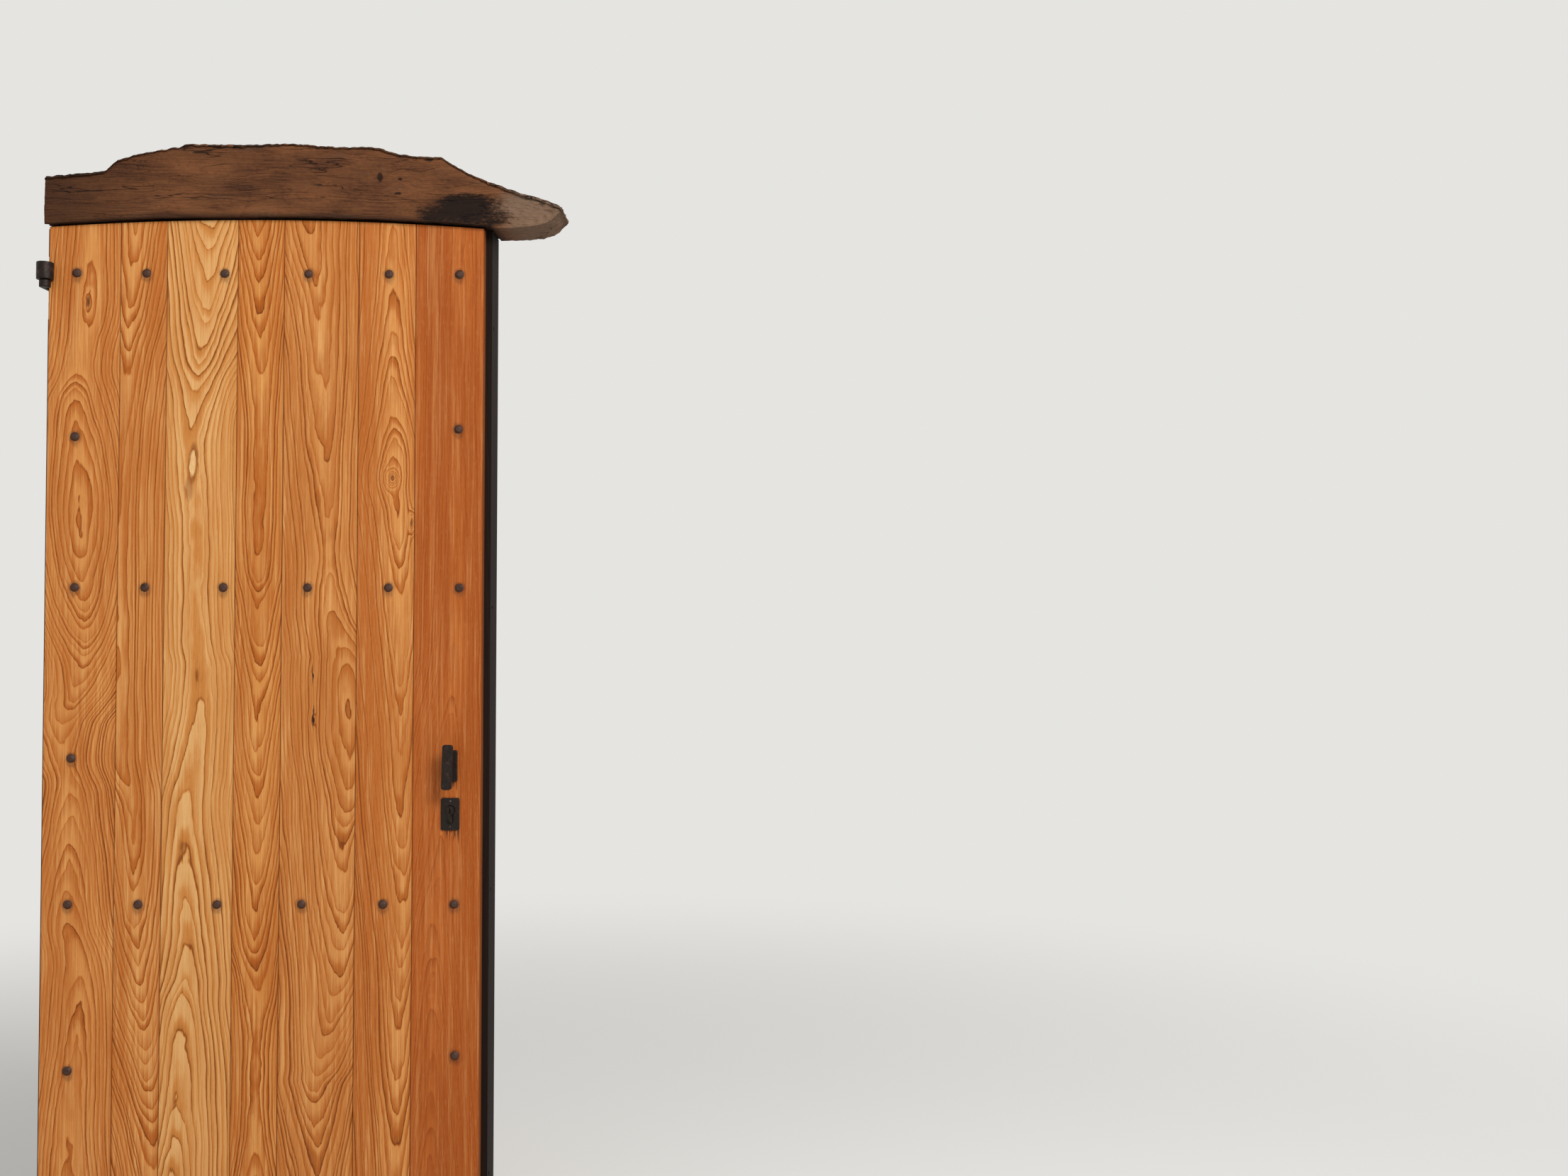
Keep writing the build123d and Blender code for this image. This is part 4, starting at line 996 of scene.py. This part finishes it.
def set_fasteners(name, places, values):
    """Fasteners at places with facings, as one plain mesh."""
    mesh = bpy.data.meshes.new(name)
    mesh.from_pydata([place for place, _ in places], [], [])
    facing = mesh.attributes.new("facing", "FLOAT_VECTOR", "POINT")
    for index, (_, direction) in enumerate(places):
        facing.data[index].vector = direction
    piece = new_object(name, mesh, values["Material"])
    modifier = piece.modifiers.new("fasteners", "NODES")
    modifier.node_group = bpy.data.node_groups.get("forged_fasteners") or fastener_tree()
    for item in modifier.node_group.interface.items_tree:
        if item.in_out == "INPUT" and item.name in values:
            modifier[item.identifier] = values[item.name]
    return made_plain(piece)


# Sizes and colours
def tint(name, description, *screen):
    """A colour for the sidebar, from its three screen values."""
    return FloatVectorProperty(
        name=name, description=description, subtype="COLOR", default=srgb(*screen))


def measure(name, description, default):
    """A length for the sidebar, in metres."""
    return FloatProperty(name=name, description=description, unit="LENGTH", default=default)


def turn(name, description, degrees):
    """An angle for the sidebar."""
    return FloatProperty(
        name=name, description=description, subtype="ANGLE", default=math.radians(degrees))


class DoorWoodSettings(bpy.types.PropertyGroup):
    early_wood: tint("Early wood", "Pale part of each ring", 218, 170, 108)
    late_wood: tint("Late wood", "Thin dark line of each ring", 100, 48, 14)
    heart_wood: tint("Heart wood", "Redder wood away from the heart line", 166, 86, 30)
    knot: tint("Knot", "Eye of a knot", 70, 36, 20)
    # The nail halo's colour and strength: iron staining together with a painted shadow of each
    # head. The same colour darkens the runs below the metal.
    nail_stain_and_shadow: tint("Nail stain", "Iron stain round the nails", 62, 36, 24)
    joint: tint("Joint", "Shadowed edge of a board", 88, 44, 20)
    crack: tint("Crack", "Depth of a crack by a small knot", 48, 26, 16)
    scar_pale: tint("Scar", "Torn wood of the third board", 226, 188, 132)
    scar_rim: tint("Scar's rim", "Brown edge of the torn wood", 118, 64, 28)
    scar_smudge: tint("Scar's smudge", "Brown patch under the torn wood", 138, 76, 36)
    stain_and_shadow: FloatProperty(
        name="Stain strength", description="Share of the stain round a nail", subtype="FACTOR",
        min=0.0, max=1.0, default=0.4)
    planed_pale: tint("Planed wood, pale", "Pale grain of the leaf's inner frame", 186, 124, 68)
    planed_dark: tint("Planed wood, dark", "Dark grain of the leaf's inner frame", 116, 62, 30)
    # The frame's colours: partly the frame's dark wood, partly painted shade, taken near-black
    # like the gap round the leaf.
    frame_pale: tint("Frame wood, pale", "Pale grain of the stained frame", 32, 21, 16)
    frame_dark: tint("Frame wood, dark", "Dark grain of the stained frame", 14, 10, 8)
    peg_pale: tint("Peg, pale", "Pale grain of the leaf's pegs", 176, 128, 82)
    peg_dark: tint("Peg, dark", "Dark grain of the leaf's pegs", 112, 70, 40)


class DoorTimberSettings(bpy.types.PropertyGroup):
    # The timber's colours are partly the old wood's own dark brown and partly painted shade: they
    # are set darker than the wood, as the lintel looks in shade.
    timber: tint("Timber", "Main colour of the lintel", 84, 50, 30)
    timber_pale: tint("Timber, pale", "Raised pale fibres", 120, 76, 46)
    timber_dark: tint("Timber, dark", "Deep dark grain", 42, 25, 16)
    timber_grey: tint("Timber, grey", "Weathered patches and the worn end", 118, 95, 77)
    timber_soot: tint("Timber, blackened", "Blackened patch and cracks", 22, 15, 12)
    pitch: FloatProperty(
        name="Mesh pitch", description="Distance between rings of the mesh, in millimetres",
        min=2.0, max=20.0, default=3.0)


class DoorMetalSettings(bpy.types.PropertyGroup):
    iron: tint("Iron", "Blackened face", 42, 35, 32)
    iron_brown: tint("Brown bloom", "Old rust in the hollows", 72, 45, 33)
    iron_rubbed: tint("Rubbed iron", "Where hands and weather have rubbed it", 92, 86, 82)
    steel: tint("Steel", "Bright steel of the lock", 142, 138, 132)
    steel_dull: tint("Steel, dull", "Dull steel of the lock", 92, 86, 80)
    brass: tint("Brass", "Rubbed brass of the cylinder", 58, 50, 44)
    brass_dull: tint("Brass, dull", "Darkened brass of the cylinder", 26, 22, 20)
    spike: tint("Spike", "Bright steel of spikes and screws", 96, 92, 88)
    spike_dull: tint("Spike, dull", "Dull steel of spikes and screws", 56, 50, 46)
    pin: tint("Pin", "Rubbed head of an escutcheon pin", 84, 74, 68)
    pin_dull: tint("Pin, dull", "Darkened head of an escutcheon pin", 40, 33, 30)
    head_radius: measure("Nail head radius", "Radius of a nail head", 0.0102)
    crown_radius: measure("Nail crown radius", "Radius of a nail head's flat", 0.0047)
    head_height: measure("Nail head height", "How far a nail head stands proud", 0.0052)
    pin_radius: measure("Pin head radius", "Radius of an escutcheon pin's head", 0.0026)
    seed: IntProperty(name="Seed", description="Seed of the nails' differences", default=7)


class DoorStageSettings(bpy.types.PropertyGroup):
    camera_place: FloatVectorProperty(
        name="Camera", description="Place of the camera", subtype="XYZ", unit="LENGTH",
        default=(0.88295, -2.9322, 1.2673))
    yaw: turn("Yaw", "Turn to the right of straight on", 0.7227)
    pitch: turn("Pitch", "Tilt upwards", 1.3886)
    roll: turn("Roll", "Turn about the view line", 0.0676)
    lens: FloatProperty(
        name="Lens", description="Focal length on a 36 mm sensor", unit="CAMERA", default=35.007)
    floor: tint("Floor", "Colour of the floor", 226, 225, 221)
    floor_patch: tint("Floor, darker", "Faint patches of the floor", 206, 204, 199)
    backdrop: tint("Backdrop", "What the camera and reflections see behind", 229, 228, 225)
    lamp_power: FloatProperty(
        name="Lamp power", description="Power of the large soft lamp", unit="POWER", default=165.0)
    sky: FloatProperty(
        name="Surround", description="Strength of the even surrounding light", default=0.62)


class DoorSettings(bpy.types.PropertyGroup):
    wood: PointerProperty(type=DoorWoodSettings)
    timber: PointerProperty(type=DoorTimberSettings)
    metal: PointerProperty(type=DoorMetalSettings)
    stage: PointerProperty(type=DoorStageSettings)


# Operators
class DOOR_OT_boards(bpy.types.Operator):
    """Finish the seven boards with the figure that each one shows"""

    bl_idname = "door.boards"
    bl_label = "Boards"

    def execute(self, context):
        look = context.scene.plank_door.wood
        for seed, (node, board) in enumerate(BOARDS.items()):
            paint([node], board_finish(node, board, look, seed + 1.0))
        return {"FINISHED"}


class DOOR_OT_framing(bpy.types.Operator):
    """Finish the leaf's inner frame, the door frame and the pegs"""

    bl_idname = "door.framing"
    bl_label = "Framing"

    def execute(self, context):
        look = context.scene.plank_door.wood
        timber = context.scene.plank_door.timber
        planed = (look.planed_pale, look.planed_dark)
        for seed, node in enumerate(("stile_hinge", "stile_lock")):
            paint([node], plain_wood(node + "_wood", "z", *planed, 5.0, seed * 9.0 + 2.0))
        for seed, node in enumerate(("rail_top", "rail_upper", "rail_lower", "rail_bottom")):
            paint([node], plain_wood(node + "_wood", "x", *planed, 5.5, seed * 11.0 + 30.0))
        # The frame's near-black is its own dark colour taken darker still, as painted shade: it
        # stands in for the shadowed gap round the leaf.
        stained_and_shaded = (look.frame_pale, look.frame_dark)
        upright = plain_wood("frame_upright_wood", "z", *stained_and_shaded, 6.0, 51.0, 0.78, 0.1)
        level = plain_wood("frame_head_wood", "x", *stained_and_shaded, 6.0, 57.0, 0.78, 0.1)
        paint(("lining_hinge", "lining_lock", "stop_hinge", "stop_lock"), upright)
        paint(("head", "head_stop"), level)
        fresh = plain_wood("peg_wood_pale", "y", look.peg_pale, look.peg_dark, 2.2, 63.0)
        paint(("framing_pegs",), fresh)
        # The lintel's pegs share the timber's colours, and so their painted shade.
        old = (timber.timber, timber.timber_dark)
        paint(("lintel_pegs",), plain_wood("peg_wood_old", "z", *old, 2.2, 67.0, 0.8, 0.12))
        return {"FINISHED"}


class DOOR_OT_lintel(bpy.types.Operator):
    """Hew the old timber over the door"""

    bl_idname = "door.lintel"
    bl_label = "Lintel"

    def execute(self, context):
        look = context.scene.plank_door.timber
        mesh = hewn_timber("lintel_timber", look.pitch)
        piece = new_object("lintel_timber", mesh, old_timber_finish(look))
        settle(piece, "lintel")
        return {"FINISHED"}


class DOOR_OT_nails(bpy.types.Operator):
    """Drive the forged nails"""

    bl_idname = "door.nails"
    bl_label = "Nails"

    def execute(self, context):
        look = context.scene.plank_door.metal
        seats = [(on_leaf(x, 0.0, z), OUTWARD) for x, z in nail_places()]
        values = {
            "Head Radius": look.head_radius,
            "Crown Radius": look.crown_radius,
            "Head Height": look.head_height,
            "Shank Radius": 2.0 * MM,
            "Shank Length": 46.0 * MM,
            "Facets": 8,
            "Unevenness": 1.1 * MM,
            "Seed": look.seed,
            "Material": iron_finish("nail_iron", look, 3.0, 1.1),
        }
        settle(set_fasteners("nail_heads", seats, values), "nails")
        return {"FINISHED"}


class DOOR_OT_pins(bpy.types.Operator):
    """Drive the escutcheons' pins from both faces"""

    bl_idname = "door.pins"
    bl_label = "Escutcheon pins"

    def execute(self, context):
        look = context.scene.plank_door.metal
        values = {
            "Head Radius": look.pin_radius,
            "Crown Radius": look.pin_radius * 0.5,
            "Head Height": PIN_HEIGHT,
            "Shank Radius": 1.7 * MM,
            "Shank Length": 12.0 * MM,
            "Facets": 16,
            "Unevenness": 0.0,
            "Seed": look.seed,
            "Material": worn_metal_finish("pin_steel", look.pin, look.pin_dull, 5.0),
        }
        low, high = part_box("cover_pins")
        middle_x = (low.x + high.x) / 2
        pins = []
        for z in (low.z + look.pin_radius, high.z - look.pin_radius):
            pins.append((Vector((middle_x, low.y + PIN_HEIGHT, z)), OUTWARD))
            pins.append((Vector((middle_x, high.y - PIN_HEIGHT, z)), -OUTWARD))
        settle(set_fasteners("escutcheon_pins", pins, values), "cover_pins")
        return {"FINISHED"}


class DOOR_OT_pulls(bpy.types.Operator):
    """Forge the two pulls and the two escutcheons"""

    bl_idname = "door.pulls"
    bl_label = "Pulls and escutcheons"

    def execute(self, context):
        iron = iron_finish("pull_iron", context.scene.plank_door.metal, 11.0, 0.2)
        for side in ("outer", "inner"):
            wrought(f"pull_plate_{side}", iron, 0.9, 0.5)
            wrought(f"pull_stem_{side}", iron, 0.8, 0.4)
            wrought(f"pull_bar_{side}", iron, 0.9, 0.6)
            wrought(f"escutcheon_{side}", iron, 0.7, 0.28)
        return {"FINISHED"}


class DOOR_OT_hinges(bpy.types.Operator):
    """Forge the straps and their pintles"""

    bl_idname = "door.hinges"
    bl_label = "Hinges"

    def execute(self, context):
        iron = iron_finish("hinge_iron", context.scene.plank_door.metal, 19.0, 0.32)
        for end in ("top", "bottom"):
            wrought(f"strap_{end}", iron, 1.5, 0.3)
            wrought(f"pintle_{end}", iron, 1.2, 0.3)
        return {"FINISHED"}


class DOOR_OT_lock(bpy.types.Operator):
    """Finish the lock, its cylinder and the strike"""

    bl_idname = "door.lock"
    bl_label = "Lock"

    def execute(self, context):
        look = context.scene.plank_door.metal
        steel = worn_metal_finish("lock_steel", look.steel, look.steel_dull, 23.0, 0.42)
        brass = worn_metal_finish("cylinder_brass", look.brass, look.brass_dull, 29.0, 0.26)
        spikes = worn_metal_finish("spike_steel", look.spike, look.spike_dull, 31.0, 0.5)
        paint(("lock_case", "lock_forend", "deadbolt", "strike_plate", "pull_spindle"), steel)
        paint(("cylinder_body", "plug_outer", "plug_inner", "cam"), brass)
        paint(("pintle_spikes", "strike_spikes", "forend_screws", "cylinder_screw"), spikes)
        return {"FINISHED"}


# Stage, in metres: the floor and where it fades into the backdrop, the lamp, and the sensor
# in millimetres.
FLOOR_RADIUS = 14.0
FLOOR_DROP = -0.001
FADE = (1.2, 4.5)
LAMP_SIZE = 1.6
LAMP_PLACE = Vector((2.6, -3.0, 3.5))
LAMP_AIM = Vector((0.0, 0.0, 1.1))
SENSOR = 36.0


class DOOR_OT_stage(bpy.types.Operator):
    """Set the floor, the surround, the lamp and the camera"""

    bl_idname = "door.stage"
    bl_label = "Stage"

    def execute(self, context):
        look = context.scene.plank_door.stage
        self.floor(look)
        self.surround(context, look)
        self.lamp(context, look)
        self.camera(context, look)
        context.scene.view_settings.view_transform = "Standard"
        return {"FINISHED"}

    def floor(self, look):
        shape = bmesh.new()
        bmesh.ops.create_circle(shape, cap_ends=True, segments=96, radius=FLOOR_RADIUS)
        mesh = bpy.data.meshes.new("floor")
        shape.to_mesh(mesh)
        shape.free()
        shader = Shader("pale_floor")
        x, y, _ = shader.xyz()
        seen = shader.add("ShaderNodeLightPath", output="Is Camera Ray")
        haze = shader.step(shader.length(x, y), *FADE) * seen
        patch = shader.noise((900, 900, 900), 2.0, 3.0) * 0.04
        colour = shader.mix(patch + 0.02, look.floor, look.floor_patch)
        matt = shader.add("ShaderNodeBsdfDiffuse", {}, {"Color": colour}, "BSDF")
        sockets = {"Color": (*look.backdrop, 1.0), "Strength": 1.0}
        glow = shader.add("ShaderNodeEmission", {}, sockets, "Emission")
        both = shader.add("ShaderNodeMixShader", {}, {0: haze, 1: matt, 2: glow}, "Shader")
        shader.add("ShaderNodeOutputMaterial", {}, {"Surface": both}, output=())
        floor = new_object("floor", mesh, shader.material)
        floor.location.z = FLOOR_DROP

    def surround(self, context, look):
        world = bpy.data.worlds.new("surround")
        world.use_nodes = True
        context.scene.world = world
        maker = Nodes(world.node_tree)
        rays = ("Is Camera Ray", "Is Glossy Ray", "Is Transmission Ray")
        camera, glossy, clear = maker.add("ShaderNodeLightPath", output=rays)
        seen = maker.math("MAXIMUM", maker.math("MAXIMUM", camera, glossy), clear)
        sky = {"Color": (1.0, 1.0, 1.0, 1.0), "Strength": look.sky}
        light = maker.add("ShaderNodeBackground", {}, sky)
        shown = {"Color": (*look.backdrop, 1.0), "Strength": 1.0}
        backdrop = maker.add("ShaderNodeBackground", {}, shown)
        both = maker.add("ShaderNodeMixShader", {}, {0: seen, 1: light, 2: backdrop})
        maker.add("ShaderNodeOutputWorld", {}, {"Surface": both}, output=())

    def lamp(self, context, look):
        light = bpy.data.lights.new("soft_lamp", "AREA")
        light.shape = "SQUARE"
        light.size = LAMP_SIZE
        light.energy = look.lamp_power
        lamp = bpy.data.objects.new("soft_lamp", light)
        lamp.location = LAMP_PLACE
        lamp.rotation_euler = (LAMP_AIM - LAMP_PLACE).to_track_quat("-Z", "Y").to_euler()
        context.scene.collection.objects.link(lamp)

    def camera(self, context, look):
        forward = Vector((
            math.sin(look.yaw) * math.cos(look.pitch),
            math.cos(look.yaw) * math.cos(look.pitch),
            math.sin(look.pitch),
        ))
        right = Vector((math.cos(look.yaw), -math.sin(look.yaw), 0.0))
        up = right.cross(forward)
        rolled_right = right * math.cos(look.roll) + up * math.sin(look.roll)
        rolled_up = up * math.cos(look.roll) - right * math.sin(look.roll)
        facing = Matrix((rolled_right, rolled_up, -forward)).transposed()
        data = bpy.data.cameras.new("camera")
        data.sensor_width = SENSOR
        data.lens = look.lens
        camera = bpy.data.objects.new("camera", data)
        camera.matrix_world = Matrix.Translation(Vector(look.camera_place)) @ facing.to_4x4()
        context.scene.collection.objects.link(camera)
        context.scene.camera = camera


STEPS = (
    DOOR_OT_stage, DOOR_OT_boards, DOOR_OT_framing, DOOR_OT_lintel, DOOR_OT_nails, DOOR_OT_pins,
    DOOR_OT_pulls, DOOR_OT_hinges, DOOR_OT_lock,
)


class DOOR_PT_steps(bpy.types.Panel):
    """The door's pieces, in the order in which they are made"""

    bl_idname = "DOOR_PT_steps"
    bl_label = "Arched plank door"
    bl_space_type = "VIEW_3D"
    bl_region_type = "UI"
    bl_category = "Door"

    def draw(self, context):
        for step in STEPS:
            self.layout.operator(step.bl_idname)


CLASSES = (
    DoorWoodSettings, DoorTimberSettings, DoorMetalSettings, DoorStageSettings, DoorSettings,
    *STEPS, DOOR_PT_steps,
)


def register():
    for item in CLASSES:
        bpy.utils.register_class(item)
    bpy.types.Scene.plank_door = PointerProperty(type=DoorSettings)


def unregister():
    del bpy.types.Scene.plank_door
    for item in reversed(CLASSES):
        bpy.utils.unregister_class(item)


def main():
    register()
    for step in STEPS:
        group, name = step.bl_idname.split(".")
        getattr(getattr(bpy.ops, group), name)()
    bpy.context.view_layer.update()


if __name__ == "__main__":
    main()
